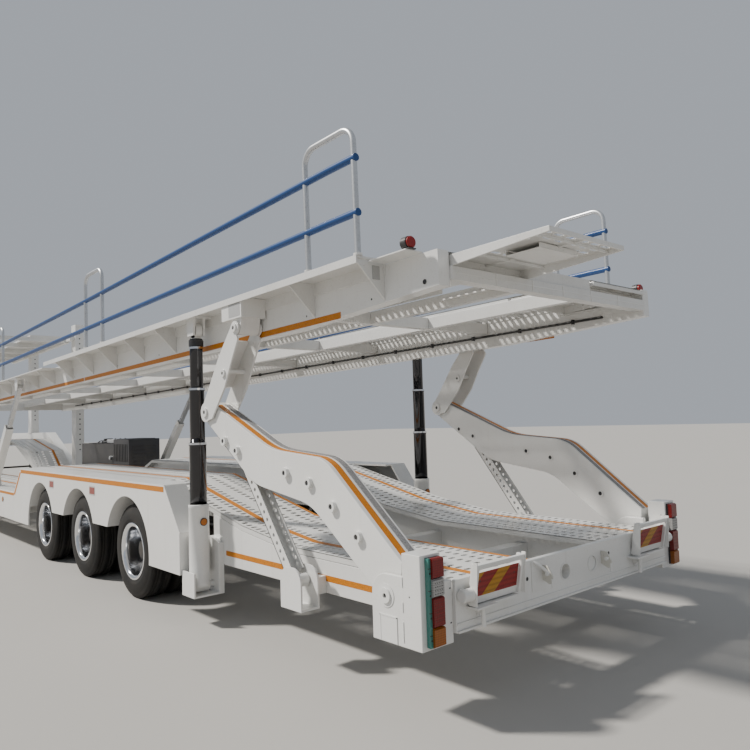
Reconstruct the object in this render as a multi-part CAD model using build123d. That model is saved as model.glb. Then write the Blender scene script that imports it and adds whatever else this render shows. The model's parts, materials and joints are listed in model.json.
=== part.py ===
from build123d import *

import math
import os

# Two-deck, three-axle car transporter semi-trailer, parked on its landing legs.
# Millimetres. X forward, Y left, Z up. Stations are measured forward from the rear face of the tail
# posts, and every piece is moved back by X_MID when it is written, so the origin is on the ground at
# mid-length on the centre line.

# Overall sizes
HALF_WIDTH = 1250.0
NOSE_X = 16600.0
CLEAR = 5.0              # least gap between pieces that move past each other
SEAT = 0.3               # gap where a moving piece rests on its seat

# Wheels, twinned, 17.5 inch
TYRE_R = 383.5
TYRE_W = 211.0
RIM_SEAT_R = 207.0
RIM_FLANGE_R = 235.0
RIM_T = 10.0
FLANGE_T = 9.0
HUB_R = 105.0
SPINDLE_R = 42.0
TWIN_GAP = 240.0         # between the two tyres' middle planes
AXLE_X = 3430.0
AXLE_STEP = 1200.0
AXLES = 3
WHEEL_FACE_Y = 1200.0
SPINDLE_END_Y = WHEEL_FACE_Y - TYRE_W / 2 - CLEAR
AXLE_BEAM = 120.0
AXLE_REAR_X = AXLE_X - 730.0     # where the level floor and the fender's top begin
AXLE_FRONT_X = AXLE_X + AXLE_STEP * (AXLES - 1) + 770.0

# Lower floor, top surface of the two wheel tracks
TRACK_T = 40.0
TRACK_IN = 350.0
TRACK_OUT = 1000.0
TAIL_FLOOR_Z = 620.0
AXLE_FLOOR_Z = 968.0
WELL_FLOOR_Z = 660.0
KICK_Z = 1000.0
NECK_X = 13700.0
NECK_FLOOR_Z = 1220.0
FLOOR = [                # station, height
    (0.0, TAIL_FLOOR_Z), (1400.0, TAIL_FLOOR_Z + 10.0), (2000.0, TAIL_FLOOR_Z + 85.0),
    (AXLE_X - 230.0, AXLE_FLOOR_Z), (AXLE_FRONT_X, AXLE_FLOOR_Z), (7400.0, WELL_FLOOR_Z),
    (11900.0, WELL_FLOOR_Z), (12400.0, KICK_Z), (NECK_X, NECK_FLOOR_Z), (NOSE_X, NECK_FLOOR_Z),
]

# Main frame
RAIL_Y = (440.0, 520.0)
OUTER_RAIL_Y = (920.0, TRACK_OUT)
OUTER_RAIL_END_X = AXLE_REAR_X - 300.0
TAIL_RAIL_Z = 400.0
AXLE_RAIL_Z = 600.0
WELL_RAIL_Z = 340.0
NECK_RAIL_Z = 1100.0
CROSS_W = 90.0

# Side sills and fender panels
SILL_Y = (1070.0, HALF_WIDTH)
SILL_BOTTOM_Z = 337.0
SILL_TOP_Z = 680.0
NECK_SILL_TOP_Z = 1350.0
SILL_REAR_X = 6890.0
SILL_KICK_X = 12250.0
PANEL_T = 15.0
FENDER_TOP_Z = AXLE_FLOOR_Z
FENDER_REAR_X = AXLE_REAR_X - 254.0
ARCH_R = 450.0
ARCH_Z = 390.0
ARCH_FOOT_Z = 550.0
FENDER_KICK_Z = 640.0    # foot of the sloping rear corner

# Tail
POST_D = 120.0
POST_Y = (1040.0, HALF_WIDTH)
POST_Z = (348.0, 781.0)
POST_HEAD_Y = 1115.0     # inner face of the post above the crossbeam
CROSSBEAM_Z = (392.0, 640.0)
CROSSBEAM_D = 110.0
LAMP_Z = (365.0, 768.0)
LAMP_Y = (1128.0, 1220.0)
LAMP_D = 40.0

# Lifting arms. A is the tail pivot, K the knuckle, D the link's pin on the upper deck
ARM_Y = (1080.0, 1220.0)
ARM_PLATE = 12.0
A_X, A_Z = 235.0, 568.0
K_X, K_Z = 2040.0, 1495.0
PIN_R = 35.0
PIN_CLEAR = 0.05
KNUCKLE_R = 66.0
LINK_R = 45.0
LINK_CHEEK = 12.0
LINK_GAP = 8.0
LINK_TUBE_R = 16.0
BOSS_R = 30.0
BOSS_H = 18.0
BOSSES = [
    (1806.0, 1300.0), (1650.0, 1238.0), (1100.0, 1117.0), (875.0, 1070.0), (665.0, 955.0), (460.0, 817.0),
]
PROP_X, PROP_Z = 1100.0, 490.0
PROP_ANGLE = 52.0
PROP_L = 900.0
PROP_D = 75.0
PROP_Y = (1105.0, 1195.0)

# Lift cylinders
CYL_X = FENDER_REAR_X - 91.0
CYL_Y = 1141.0
CYL_FOOT_Z = 262.0
BARREL_R = 74.0
BARREL_TOP_Z = 842.0
STAGE = [(61.0, 1282.0), (54.0, 1677.0), (47.0, 2040.0)]   # radius, top height
STAGE_HIDDEN = 260.0     # how far each stage reaches down into the one below
BORE_CLEAR = 0.5
EYE_PIN_R = 25.0
EYE_DRIFT = 12.0
SHOE_WALL = 40.0

# Upper rear deck, in its own tilted frame whose z = 0 is the top of the side beams
DECK_TAIL_Z = 2233.0
DECK_TILT = 1.17
DECK_L = 12400.0
BEAM_Y = (970.0, 1050.0)
BEAM_D = 235.0
BEAM_TAIL_D = 180.0
BEAM_NOSE_D = 200.0
HINGE_X = DECK_L - 500.0
HINGE_DROP = 120.0
HINGE_PIN_R = 40.0
DECK_TRACK_IN = 330.0
DECK_TRACK_T = 35.0
DECK_TRACK_DROP = 5.0
DECK_SHEET_T = 8.0       # the track's thickness above the sliding flaps
DECK_BAYS = 9
WALK_T = 12.0
WALK_STRIP = 8.0
WALK_X = (380.0, 5700.0)
WALK_RISE = 27.0
WALK_FRONT_X = (5750.0, DECK_L - 750.0)
WALK_FRONT_Z = -25.0
GUSSET_T = 10.0
GUSSET_STEP = 620.0
RAIL_TUBE_R = 17.0
ROPE_R = 21.0
STANCHION_H = 690.0
STANCHIONS = [           # rear leg, front leg, upper rope height, lower rope height
    (390.0, 820.0, 544.0, 253.0), (3990.0, 4420.0, 484.0, 216.0),
    (7500.0, 7930.0, 447.0, 190.0),
    (DECK_L - 1300.0, DECK_L - 870.0, 430.0, 180.0),
]
CABLE_R = 9.0
CLIP_STEP = 480.0
CLIP_X = (300.0, DECK_L - 900.0)

# Pins on the upper deck, their drops measured square to the deck's top
TILT = math.radians(DECK_TILT)
LINK_DROP = 171.695
EYE_DROP = 84.886
BRACE_DROP = 151.026
D_X = 1629.0
D_Z = DECK_TAIL_Z - (D_X * math.sin(TILT) + LINK_DROP) / math.cos(TILT)
CYL_EYE_Z = DECK_TAIL_Z - (CYL_X * math.sin(TILT) + EYE_DROP) / math.cos(TILT)

# Tail flaps that slide out from under the deck's tracks
FLAP_OUT = 580.0         # how far a flap reaches behind the deck
FLAP_IN = 50.0           # what stays over the ledge then
FLAP_TRAVEL = 560.0
FLAP_Y = (325.0, 960.0)
FLAP_PLATE = 8.0
FLAP_SIDE = 12.0
FLAP_BUTT_Z = -75.0      # underside by the deck
FLAP_TIP_Z = -42.0       # underside at the tip
FLAP_TOP_Z = -DECK_TRACK_DROP - DECK_SHEET_T - CLEAR
FLAP_BAY = FLAP_IN + FLAP_TRAVEL + 20.0
LEDGE_LOW_Z = -146.0
RUNNER_W = 30.0
RUNNER_T = 10.0

# Braces between the deck and the sills. P is the pin on the deck, Q the foot
P_X = 6950.0
P_Z = DECK_TAIL_Z - (P_X * math.sin(TILT) + BRACE_DROP) / math.cos(TILT)
Q_X, Q_Z = 8150.0, 760.0
BRACE_Y = (1125.0, 1215.0)
SLEEVE_L = 1000.0
SLEEVE_WALL = 8.0
BRACE_BAR = 50.0
BRACE_OVERLAP = 350.0

# Front columns and the lifting front deck
COLUMN_X = (HINGE_X + 50.0, NOSE_X - 1600.0)
COLUMN_D = 240.0
COLUMN_Y = (1070.0, 1230.0)
COLUMN_TOP_Z = 3480.0
FRONT_X = (COLUMN_X[0] + 200.0, NOSE_X - 400.0)
FRONT_BEAM_Y = (985.0, COLUMN_Y[0] - CLEAR - 10.0)
FRONT_TOP_Z = 3280.0
FRONT_BEAM_D = 140.0

# Landing legs and kingpin
LEG_X = 12900.0
LEG_BOX = 130.0
LEG_FOOT_Z = 20.0
LEG_SPLIT_Z = 330.0      # lower end of the outer box
LEG_SHAFT_Z = 690.0
KINGPIN_X = NOSE_X - 1100.0
KINGPIN_R = 25.4
KINGPIN_COLLAR_R = 36.5
KINGPIN_FOOT_R = 35.7
PLATE_T = 12.0
PLATE_REACH = (-650.0, 600.0)

# Power pack in the well
PACK_X = (7700.0, 9700.0)
PACK_Y = (-950.0, -480.0)
PACK_Z = 1240.0
PACK_COVER_L = 600.0

X_MID = (NOSE_X - FLAP_OUT * math.cos(TILT)) / 2
# end of sizes


def box(x, y, z):
    """A box between pairs of x, y and z."""
    size = (x[1] - x[0], y[1] - y[0], z[1] - z[0])
    return Pos(sum(x) / 2, sum(y) / 2, sum(z) / 2) * Box(*size)


def rod_y(x, z, radius, y):
    """A round bar along Y."""
    return Pos(x, sum(y) / 2, z) * Rot(90, 0, 0) * Cylinder(radius, y[1] - y[0])


def rod_z(x, y, radius, z):
    """A round bar along Z."""
    return Pos(x, y, sum(z) / 2) * Cylinder(radius, z[1] - z[0])


def outline(rows):
    """A face in the XZ plane from rows of x, z and, where a corner is round, its radius."""
    edges = []
    last = None
    first = None
    count = len(rows)
    for i in range(count):
        here = Vector(rows[i][0], 0, rows[i][1])
        radius = rows[i][2] if len(rows[i]) > 2 else 0.0
        before = Vector(rows[i - 1][0], 0, rows[i - 1][1])
        after = Vector(rows[(i + 1) % count][0], 0, rows[(i + 1) % count][1])
        start = end = here
        if radius:
            back, on = (before - here).normalized(), (after - here).normalized()
            half = math.radians(back.get_angle(on)) / 2
            start, end = here + back * (radius / math.tan(half)), here + on * (radius / math.tan(half))
            inward = (back + on).normalized()
            middle = here + inward * (radius / math.sin(half) - radius)
        if last is not None:
            edges.append(Line(last, start))
        if radius:
            edges.append(ThreePointArc(start, middle, end))
        first = start if first is None else first
        last = end
    edges.append(Line(last, first))
    return make_face(edges)


def prism(rows, y):
    """An XZ outline pulled from y[0] to y[1]."""
    return Pos(0, y[0], 0) * extrude(outline(rows), amount=y[1] - y[0], dir=(0, 1, 0))


def bar(start, end, width, y):
    """A straight flat bar of the given width between two XZ points."""
    length = math.hypot(end[0] - start[0], end[1] - start[1])
    angle = math.degrees(math.atan2(end[1] - start[1], end[0] - start[0]))
    solid = box((0, length), y, (-width / 2, width / 2))
    return Pos(start[0], 0, start[1]) * Rot(0, -angle, 0) * solid


def both(shape):
    """The left piece and its mirror image."""
    return group([shape, mirror(shape, about=Plane.XZ)])


def group(shapes):
    """Separate pieces in one node."""
    return Compound([solid for shape in shapes for solid in shape.solids()])


def floor_z(x):
    """Height of the lower floor's top surface at a station."""
    for (x0, z0), (x1, z1) in zip(FLOOR, FLOOR[1:]):
        if x <= x1:
            return z0 + (z1 - z0) * (x - x0) / (x1 - x0)
    return FLOOR[-1][1]


def floor_line(x0, x1, drop):
    """Points that follow the lower floor, a given drop below it."""
    inner = [(x, z - drop) for x, z in FLOOR if x0 < x < x1]
    return [(x0, floor_z(x0) - drop)] + inner + [(x1, floor_z(x1) - drop)]


def on_deck(shape):
    """Place a piece that is drawn in the upper deck's own frame."""
    return Pos(0, 0, DECK_TAIL_Z) * Rot(0, DECK_TILT, 0) * shape


def deck_local(x, z):
    """A world point in the upper deck's own frame."""
    dz = z - DECK_TAIL_Z
    return (x * math.cos(TILT) - dz * math.sin(TILT), x * math.sin(TILT) + dz * math.cos(TILT))


def beam_depth(x):
    """Depth of the upper deck's side beam at a station."""
    if x < WALK_X[0]:
        return BEAM_TAIL_D + (BEAM_D - BEAM_TAIL_D) * x / WALK_X[0]
    return BEAM_D


# Lower chassis

def main_rail():
    """One main rail, from the crossbeam at the tail to the nose."""
    rows = floor_line(CROSSBEAM_D, NOSE_X, TRACK_T) + [
        (NOSE_X, NECK_RAIL_Z), (NECK_X, NECK_RAIL_Z), (12100.0, 560.0), (11500.0, WELL_RAIL_Z),
        (AXLE_FRONT_X + 400.0, WELL_RAIL_Z), (AXLE_FRONT_X, AXLE_RAIL_Z), (AXLE_REAR_X, AXLE_RAIL_Z),
        (AXLE_REAR_X - 400.0, TAIL_RAIL_Z),
        (CROSSBEAM_D, TAIL_RAIL_Z),
    ]
    return prism(rows, RAIL_Y)


def tail_rail():
    """Outer rail under the edge of the tail floor."""
    rows = floor_line(CROSSBEAM_D, OUTER_RAIL_END_X, TRACK_T) + [
        (OUTER_RAIL_END_X, 560.0), (2250.0, TAIL_RAIL_Z), (CROSSBEAM_D, TAIL_RAIL_Z),
    ]
    return prism(rows, OUTER_RAIL_Y)


def cross_members():
    """Cross members between the main rails and their outriggers to the outer rails and sills."""
    tail = (OUTER_RAIL_Y[0], TAIL_RAIL_Z + 30.0)
    axle_zone = (RAIL_Y[1], AXLE_RAIL_Z + 100.0)
    well = (SILL_Y[0], WELL_RAIL_Z + 30.0)
    neck = (SILL_Y[0], NECK_RAIL_Z + 4.0)
    rows = [             # station, half width and underside, depth
        (700.0, tail, 100.0), (1500.0, tail, 100.0), (2200.0, tail, 100.0), (2830.0, axle_zone, 100.0),
        (4030.0, axle_zone, 100.0), (5230.0, axle_zone, 100.0), (6430.0, axle_zone, 100.0),
        (7300.0, well, 100.0), (8400.0, well, 100.0), (9500.0, well, 100.0), (10600.0, well, 100.0),
        (11500.0, well, 100.0), (14000.0, neck, 70.0), (COLUMN_X[1], neck, 70.0),
        (NOSE_X - CROSS_W / 2, neck, 70.0),
    ]
    pieces = []
    for x, (half, low), depth in rows:
        span = (x - CROSS_W / 2, x + CROSS_W / 2)
        pieces.append(box(span, (-RAIL_Y[0], RAIL_Y[0]), (low, low + depth)))
        if half > RAIL_Y[1]:
            pieces.append(box(span, (RAIL_Y[1], half), (low, low + depth)))
            pieces.append(box(span, (-half, -RAIL_Y[1]), (low, low + depth)))
    return group(pieces)


def sill_top_z(x):
    """Height of the side sill's top at a station."""
    share = min(1.0, max(0.0, (x - SILL_KICK_X) / (NECK_X - SILL_KICK_X)))
    return SILL_TOP_Z + (NECK_SILL_TOP_Z - SILL_TOP_Z) * share


def side_sill():
    """Deep box sill along the well, rising to the gooseneck."""
    rows = [
        (SILL_REAR_X, SILL_BOTTOM_Z), (11600.0, SILL_BOTTOM_Z), (12150.0, 480.0), (NECK_X, NECK_RAIL_Z),
        (NOSE_X, NECK_RAIL_Z), (NOSE_X, NECK_SILL_TOP_Z), (NECK_X, NECK_SILL_TOP_Z),
        (SILL_KICK_X, SILL_TOP_Z), (SILL_REAR_X, SILL_TOP_Z),
    ]
    return prism(rows, SILL_Y)


def lower_track():
    """One wheel track of the lower floor, from the tail to the nose."""
    top = floor_line(0.0, NOSE_X, 0.0)
    under = list(reversed(floor_line(0.0, NOSE_X, TRACK_T)))
    return prism(top + under, (TRACK_IN, TRACK_OUT))


def fender_panel():
    """Skin over the wheels with three round arches, its top plate, liners and rear return."""
    front_x = SILL_REAR_X - SEAT
    skin_y = (HALF_WIDTH - PANEL_T, HALF_WIDTH)
    rows = [
        (FENDER_REAR_X, SILL_BOTTOM_Z), (FENDER_REAR_X, FENDER_KICK_Z), (AXLE_REAR_X, FENDER_TOP_Z),
        (AXLE_FRONT_X, FENDER_TOP_Z), (front_x, SILL_TOP_Z), (front_x, SILL_BOTTOM_Z),
    ]
    panel = prism(rows, skin_y)
    last_x = AXLE_X + AXLE_STEP * (AXLES - 1)
    panel -= box((AXLE_X, last_x), skin_y, (0.0, ARCH_FOOT_Z))
    top_z = (FENDER_TOP_Z - PANEL_T, FENDER_TOP_Z)
    panel += box((AXLE_REAR_X, AXLE_FRONT_X), (TRACK_OUT + CLEAR, skin_y[1]), top_z)
    return_x = (FENDER_REAR_X, FENDER_REAR_X + PANEL_T)
    panel += box(return_x, (SILL_Y[0], skin_y[1]), (SILL_BOTTOM_Z, FENDER_KICK_Z))
    kick_low = (FENDER_REAR_X, FENDER_KICK_Z - PANEL_T / 2)
    kick_high = (AXLE_REAR_X, FENDER_TOP_Z - PANEL_T / 2)
    panel += bar(kick_low, kick_high, PANEL_T, (SILL_Y[0], skin_y[1]))
    for i in range(AXLES):
        x = AXLE_X + AXLE_STEP * i
        liner = rod_y(x, ARCH_Z, ARCH_R + PANEL_T, (SILL_Y[0], skin_y[1]))
        liner -= box((x - 2 * ARCH_R, x + 2 * ARCH_R), skin_y, (0.0, ARCH_FOOT_Z))
        liner -= box((x - 2 * ARCH_R, x + 2 * ARCH_R), (0.0, skin_y[1]), (-ARCH_R, ARCH_FOOT_Z))
        panel += liner
    for i in range(AXLES):
        panel -= rod_y(AXLE_X + AXLE_STEP * i, ARCH_Z, ARCH_R, (0.0, 2 * HALF_WIDTH))
    return panel


def tail_crossbeam():
    """Beam across the tail, with its two round holes and the slots that take the ramps."""
    beam = box((0.0, CROSSBEAM_D), (-POST_Y[0], POST_Y[0]), (CROSSBEAM_Z[0], TAIL_FLOOR_Z - TRACK_T))
    beam += box((-20.0, 0.0), (-POST_Y[0], POST_Y[0]), CROSSBEAM_Z)
    for y in (132.0, -146.0):
        hole = Pos(0, y, 530.0) * Rot(0, 90, 0) * Cylinder(42.0, 4 * CROSSBEAM_D)
        beam -= hole
    return beam


def tail_post():
    """Hollow tail post with the clevis and pin that carry a lifting arm."""
    post = box((0.0, POST_D), POST_Y, (POST_Z[0], CROSSBEAM_Z[1]))
    post += box((0.0, POST_D), (POST_HEAD_Y, POST_Y[1]), (CROSSBEAM_Z[1], POST_Z[1]))
    rows = [(POST_D, POST_Z[0]), (A_X + 103.0, POST_Z[0]), (A_X + 103.0, A_Z + 103.0, 102.0),
            (POST_D, A_Z + 103.0)]
    gap = ARM_Y[0] - LINK_GAP, ARM_Y[1] + LINK_GAP
    cheeks = prism(rows, (POST_Y[0], gap[0])) + prism(rows, (gap[1], POST_Y[1]))
    floor_plate = box((POST_D, A_X + 103.0), POST_Y, (POST_Z[0], POST_Z[0] + ARM_PLATE))
    pin = rod_y(A_X, A_Z, PIN_R, (POST_Y[0], POST_Y[1]))
    return post + cheeks + floor_plate + pin


def tail_lamp():
    """Tall lamp strip on the rear face of the post."""
    return box((-LAMP_D, -SEAT), LAMP_Y, LAMP_Z)


def ramp_end():
    """End of a stowed loading ramp: a window frame with its warning board, leaning back."""
    plate = box((-8.0, 0.0), (-165.0, 165.0), (0.0, 118.0))
    frame = box((-26.0, 14.0), (-185.0, -165.0), (-35.0, 165.0))
    frame += box((-26.0, 14.0), (165.0, 185.0), (-35.0, 165.0))
    frame += box((-26.0, -8.0), (-165.0, 165.0), (140.0, 165.0))
    frame += box((-8.0, 14.0), (-165.0, 165.0), (-35.0, 0.0))
    return Pos(-40.0, 775.0, 545.0) * Rot(0, -10, 0) * (plate + frame)


def axle(x):
    """Square axle beam with round spindles."""
    beam = box((x - AXLE_BEAM / 2, x + AXLE_BEAM / 2), (-700.0, 700.0),
               (TYRE_R - AXLE_BEAM / 2, TYRE_R + AXLE_BEAM / 2))
    return beam + rod_y(x, TYRE_R, SPINDLE_R, (-SPINDLE_END_Y, SPINDLE_END_Y))


def suspension():
    """Leaf springs over the axles and the hangers that carry them, one side."""
    top_z = TYRE_R + AXLE_BEAM / 2
    spring_z = (top_z, top_z + 50.0)
    y = (RAIL_Y[0] + 5.0, RAIL_Y[1] - 5.0)
    side = None
    for i in range(AXLES + 1):
        x = AXLE_X + AXLE_STEP * (i - 0.5)
        hanger = prism([(x - 90.0, AXLE_RAIL_Z), (x - 60.0, spring_z[0] - 15.0), (x + 60.0, spring_z[0] - 15.0),
                        (x + 90.0, AXLE_RAIL_Z)], y)
        side = hanger if side is None else side + hanger
    for i in range(AXLES):
        x = AXLE_X + AXLE_STEP * i
        side += box((x - AXLE_STEP / 2, x + AXLE_STEP / 2), y, spring_z)
        side += box((x - 110.0, x + 110.0), y, (spring_z[0], spring_z[1] + 25.0))
    return side


def landing_leg():
    """Outer box bolted to the rail, inner box and foot plate."""
    x = (LEG_X - LEG_BOX / 2, LEG_X + LEG_BOX / 2)
    y = (RAIL_Y[1], RAIL_Y[1] + LEG_BOX)
    inner = 12.0
    leg = box(x, y, (LEG_SPLIT_Z, floor_z(LEG_X) - TRACK_T - 30.0))
    leg += box((x[0] + inner, x[1] - inner), (y[0] + inner, y[1] - inner), (LEG_FOOT_Z, LEG_SPLIT_Z))
    leg += box((x[0] - 70.0, x[1] + 70.0), (y[0] - 30.0, y[1] + 30.0), (0.0, LEG_FOOT_Z))
    return leg


def landing_legs():
    """Both legs and the shaft that links their gearboxes."""
    leg = landing_leg()
    shaft = rod_y(LEG_X, LEG_SHAFT_Z, 18.0, (-RAIL_Y[1] - 5.0, RAIL_Y[1] + 5.0))
    return leg + mirror(leg, about=Plane.XZ) + shaft


def kingpin():
    """Coupler plate under the gooseneck with the kingpin."""
    z = NECK_RAIL_Z
    reach = (KINGPIN_X + PLATE_REACH[0], KINGPIN_X + PLATE_REACH[1])
    plate = box(reach, (-TRACK_OUT, TRACK_OUT), (z - PLATE_T, z))
    pin = rod_z(KINGPIN_X, 0.0, KINGPIN_COLLAR_R, (z - PLATE_T - 22.0, z - PLATE_T))
    pin += rod_z(KINGPIN_X, 0.0, KINGPIN_R, (z - PLATE_T - 58.0, z - PLATE_T - 22.0))
    pin += rod_z(KINGPIN_X, 0.0, KINGPIN_FOOT_R, (z - PLATE_T - 84.0, z - PLATE_T - 58.0))
    return plate + pin


def front_column(x):
    """Column that stands on the sill."""
    rear, front = x - COLUMN_D / 2, x + COLUMN_D / 2
    return prism([(rear, sill_top_z(rear)), (front, sill_top_z(front)), (front, COLUMN_TOP_Z),
                  (rear, COLUMN_TOP_Z)], COLUMN_Y)


def front_columns():
    """Four columns, the rear pair with the pins of the upper deck."""
    pin_x = HINGE_X * math.cos(TILT) - HINGE_DROP * math.sin(TILT)
    pin_z = DECK_TAIL_Z - HINGE_X * math.sin(TILT) - HINGE_DROP * math.cos(TILT)
    rear = front_column(COLUMN_X[0]) + rod_y(pin_x, pin_z, HINGE_PIN_R, (BEAM_Y[0], COLUMN_Y[0]))
    front = front_column(COLUMN_X[1])
    return group([rear, mirror(rear, about=Plane.XZ), front, mirror(front, about=Plane.XZ)])


def power_pack():
    """Hydraulic power pack standing on the right track of the well."""
    tank = box((PACK_X[0] + PACK_COVER_L, PACK_X[1]), PACK_Y, (WELL_FLOOR_Z, PACK_Z - 60.0))
    cover = box((PACK_X[0], PACK_X[0] + PACK_COVER_L), PACK_Y, (WELL_FLOOR_Z, PACK_Z))
    return tank + cover


def side_carriers():
    """Outriggers from the tail rail: the cylinder's shoe, the prop's clevis and the brace's foot."""
    shoe_x = (CYL_X - 100.0, FENDER_REAR_X - CLEAR)
    shoe_top = CYL_FOOT_Z + 110.0
    wall_y = (OUTER_RAIL_Y[1], OUTER_RAIL_Y[1] + SHOE_WALL)
    shoe = box(shoe_x, (wall_y[0], CYL_Y + BARREL_R + 20.0), (CYL_FOOT_Z - 62.0, CYL_FOOT_Z - 50.0))
    wall_rows = [(shoe_x[0], CYL_FOOT_Z - 62.0), (shoe_x[1], CYL_FOOT_Z - 62.0), (shoe_x[1], shoe_top),
                 (shoe_x[0], shoe_top)]
    shoe += prism(wall_rows, wall_y)
    shoe += prism(wall_rows, (CYL_Y + BARREL_R + 8.0, CYL_Y + BARREL_R + 20.0))
    shoe += rod_y(CYL_X, CYL_FOOT_Z, EYE_PIN_R, (wall_y[1], CYL_Y + BARREL_R + 8.0))
    shoe += prism([(shoe_x[0], shoe_top - 5.0), (OUTER_RAIL_END_X - 10.0, shoe_top - 5.0),
                   (OUTER_RAIL_END_X - 10.0, 600.0), (shoe_x[0], 560.0)], wall_y)
    clevis_rows = [(PROP_X - 105.0, 335.0), (PROP_X + 100.0, 335.0), (PROP_X + 100.0, PROP_Z + 85.0, 84.0),
                   (PROP_X - 105.0, PROP_Z + 85.0, 84.0)]
    inner = PROP_Y[0] - LINK_GAP
    outer = PROP_Y[1] + LINK_GAP
    clevis = prism(clevis_rows, (inner - ARM_PLATE, inner)) + prism(clevis_rows, (outer, outer + ARM_PLATE))
    clevis += rod_y(PROP_X, PROP_Z, EYE_PIN_R, (inner - ARM_PLATE, outer + ARM_PLATE))
    clevis += box((PROP_X - 105.0, PROP_X + 100.0), (inner - ARM_PLATE, outer + ARM_PLATE), (335.0, 347.0))
    clevis += box((PROP_X - 60.0, PROP_X + 60.0), (OUTER_RAIL_Y[1], inner - ARM_PLATE), (400.0, 500.0))
    foot = box((Q_X - 90.0, Q_X + 90.0), BRACE_Y, (SILL_TOP_Z, SILL_TOP_Z + 12.0))
    inner = (BRACE_Y[0] - 5.0 - ARM_PLATE, BRACE_Y[0] - 5.0)
    outer = (BRACE_Y[1] + 5.0, BRACE_Y[1] + 5.0 + ARM_PLATE)
    for y in (inner, outer):
        foot += prism([(Q_X - 70.0, SILL_TOP_Z), (Q_X + 70.0, SILL_TOP_Z), (Q_X + 40.0, Q_Z + 45.0),
                       (Q_X - 40.0, Q_Z + 45.0)], y)
    gap_y = (inner[1], outer[0])
    foot += box((Q_X - 70.0, Q_X + 70.0), gap_y, (SILL_TOP_Z, SILL_TOP_Z + 12.0))
    foot += rod_y(Q_X, Q_Z, 20.0, gap_y)
    pieces = [shoe, clevis, foot]
    return group(pieces + [mirror(piece, about=Plane.XZ) for piece in pieces])


# Wheels

def tyre_at(y):
    """A tyre round Y with its middle plane at y."""
    half = TYRE_W / 2
    seat = RIM_SEAT_R + SEAT
    bead = half - FLANGE_T - 1.5
    rows = [
        (seat, -bead), (RIM_FLANGE_R + 1.0, -bead), (262.0, -half), (315.0, -half), (370.0, -half + 17.0),
        (TYRE_R, -half + 33.0), (TYRE_R, half - 33.0), (370.0, half - 17.0), (315.0, half), (262.0, half),
        (RIM_FLANGE_R + 1.0, bead), (seat, bead),
    ]
    face = make_face(Polyline(*[(r, y + w, 0.0) for r, w in rows], close=True))
    return revolve(face, axis=Axis.Y)


def rim_at(y, inboard):
    """A steel rim with a deep dish: seat, two flanges and its disc by one edge."""
    half = TYRE_W / 2 - 1.0
    ring = rod_y(0, 0, RIM_SEAT_R, (y - half, y + half)) - rod_y(0, 0, RIM_SEAT_R - RIM_T, (y - half, y + half))
    for side in (-1, 1):
        ends = sorted((y + side * half, y + side * (half - FLANGE_T)))
        flange = rod_y(0, 0, RIM_FLANGE_R, ends) - rod_y(0, 0, RIM_SEAT_R - RIM_T, ends)
        ring += flange
    edge = y + inboard * half
    return ring + rod_y(0, 0, RIM_SEAT_R - 2.0, sorted((edge, edge - inboard * RIM_T)))


def wheel_pair(x, side):
    """Twin tyres and their rims on one hub, side +1 left and -1 right."""
    outer = WHEEL_FACE_Y - TYRE_W / 2
    inner = outer - TWIN_GAP
    tyres = [tyre_at(outer), tyre_at(inner)]
    rims = rim_at(outer, -1) + rim_at(inner, 1)
    rims += rod_y(0, 0, HUB_R, (720.0, outer))
    rims -= rod_y(0, 0, SPINDLE_R + BORE_CLEAR, (600.0, WHEEL_FACE_Y))
    rims += rod_y(0, 0, HUB_R - 20.0, (outer, outer + 22.0))
    place = Pos(x, 0, TYRE_R)
    if side < 0:
        tyres = [mirror(tyre, about=Plane.XZ) for tyre in tyres]
        rims = mirror(rims, about=Plane.XZ)
    return group([place * tyre for tyre in tyres]), place * rims


# Lifting arms, links, props, cylinders and braces

ARM_OUTLINE = [          # x, z, corner radius: the S shape, along the top and back underneath
    (150.0, 728.0), (738.0, 1207.0, 300.0), (1273.0, 1251.0, 700.0), (2008.0, 1560.0),
    (2084.0, 1447.0), (1471.0, 1036.0, 500.0), (872.0, 948.0, 400.0), (250.0, 497.0),
]


def lifting_arm():
    """S-shaped box arm, open underneath, with its lock-pin bosses."""
    arm = prism(ARM_OUTLINE, ARM_Y) + rod_y(A_X, A_Z, 80.0, ARM_Y) + rod_y(K_X, K_Z, KNUCKLE_R, ARM_Y)
    arm += prism([(150.0, 728.0), (250.0, 497.0), (165.0, 540.0)], ARM_Y)
    inner = (ARM_Y[0] + ARM_PLATE, ARM_Y[1] - ARM_PLATE)
    wall = ARM_PLATE + 4.0
    hollow = [
        (430.0, 940.0 - wall), (738.0, 1207.0 - wall, 300.0), (1273.0, 1251.0 - wall, 700.0),
        (1890.0, 1511.0 - wall), (1890.0, 800.0), (430.0, 300.0),
    ]
    arm -= prism(hollow, inner)
    for x, z in BOSSES:
        arm += rod_y(x, z, BOSS_R, (ARM_Y[1] - ARM_PLATE, ARM_Y[1] + BOSS_H))
    arm -= rod_y(A_X, A_Z, PIN_R + PIN_CLEAR, ARM_Y)
    return arm


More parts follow.
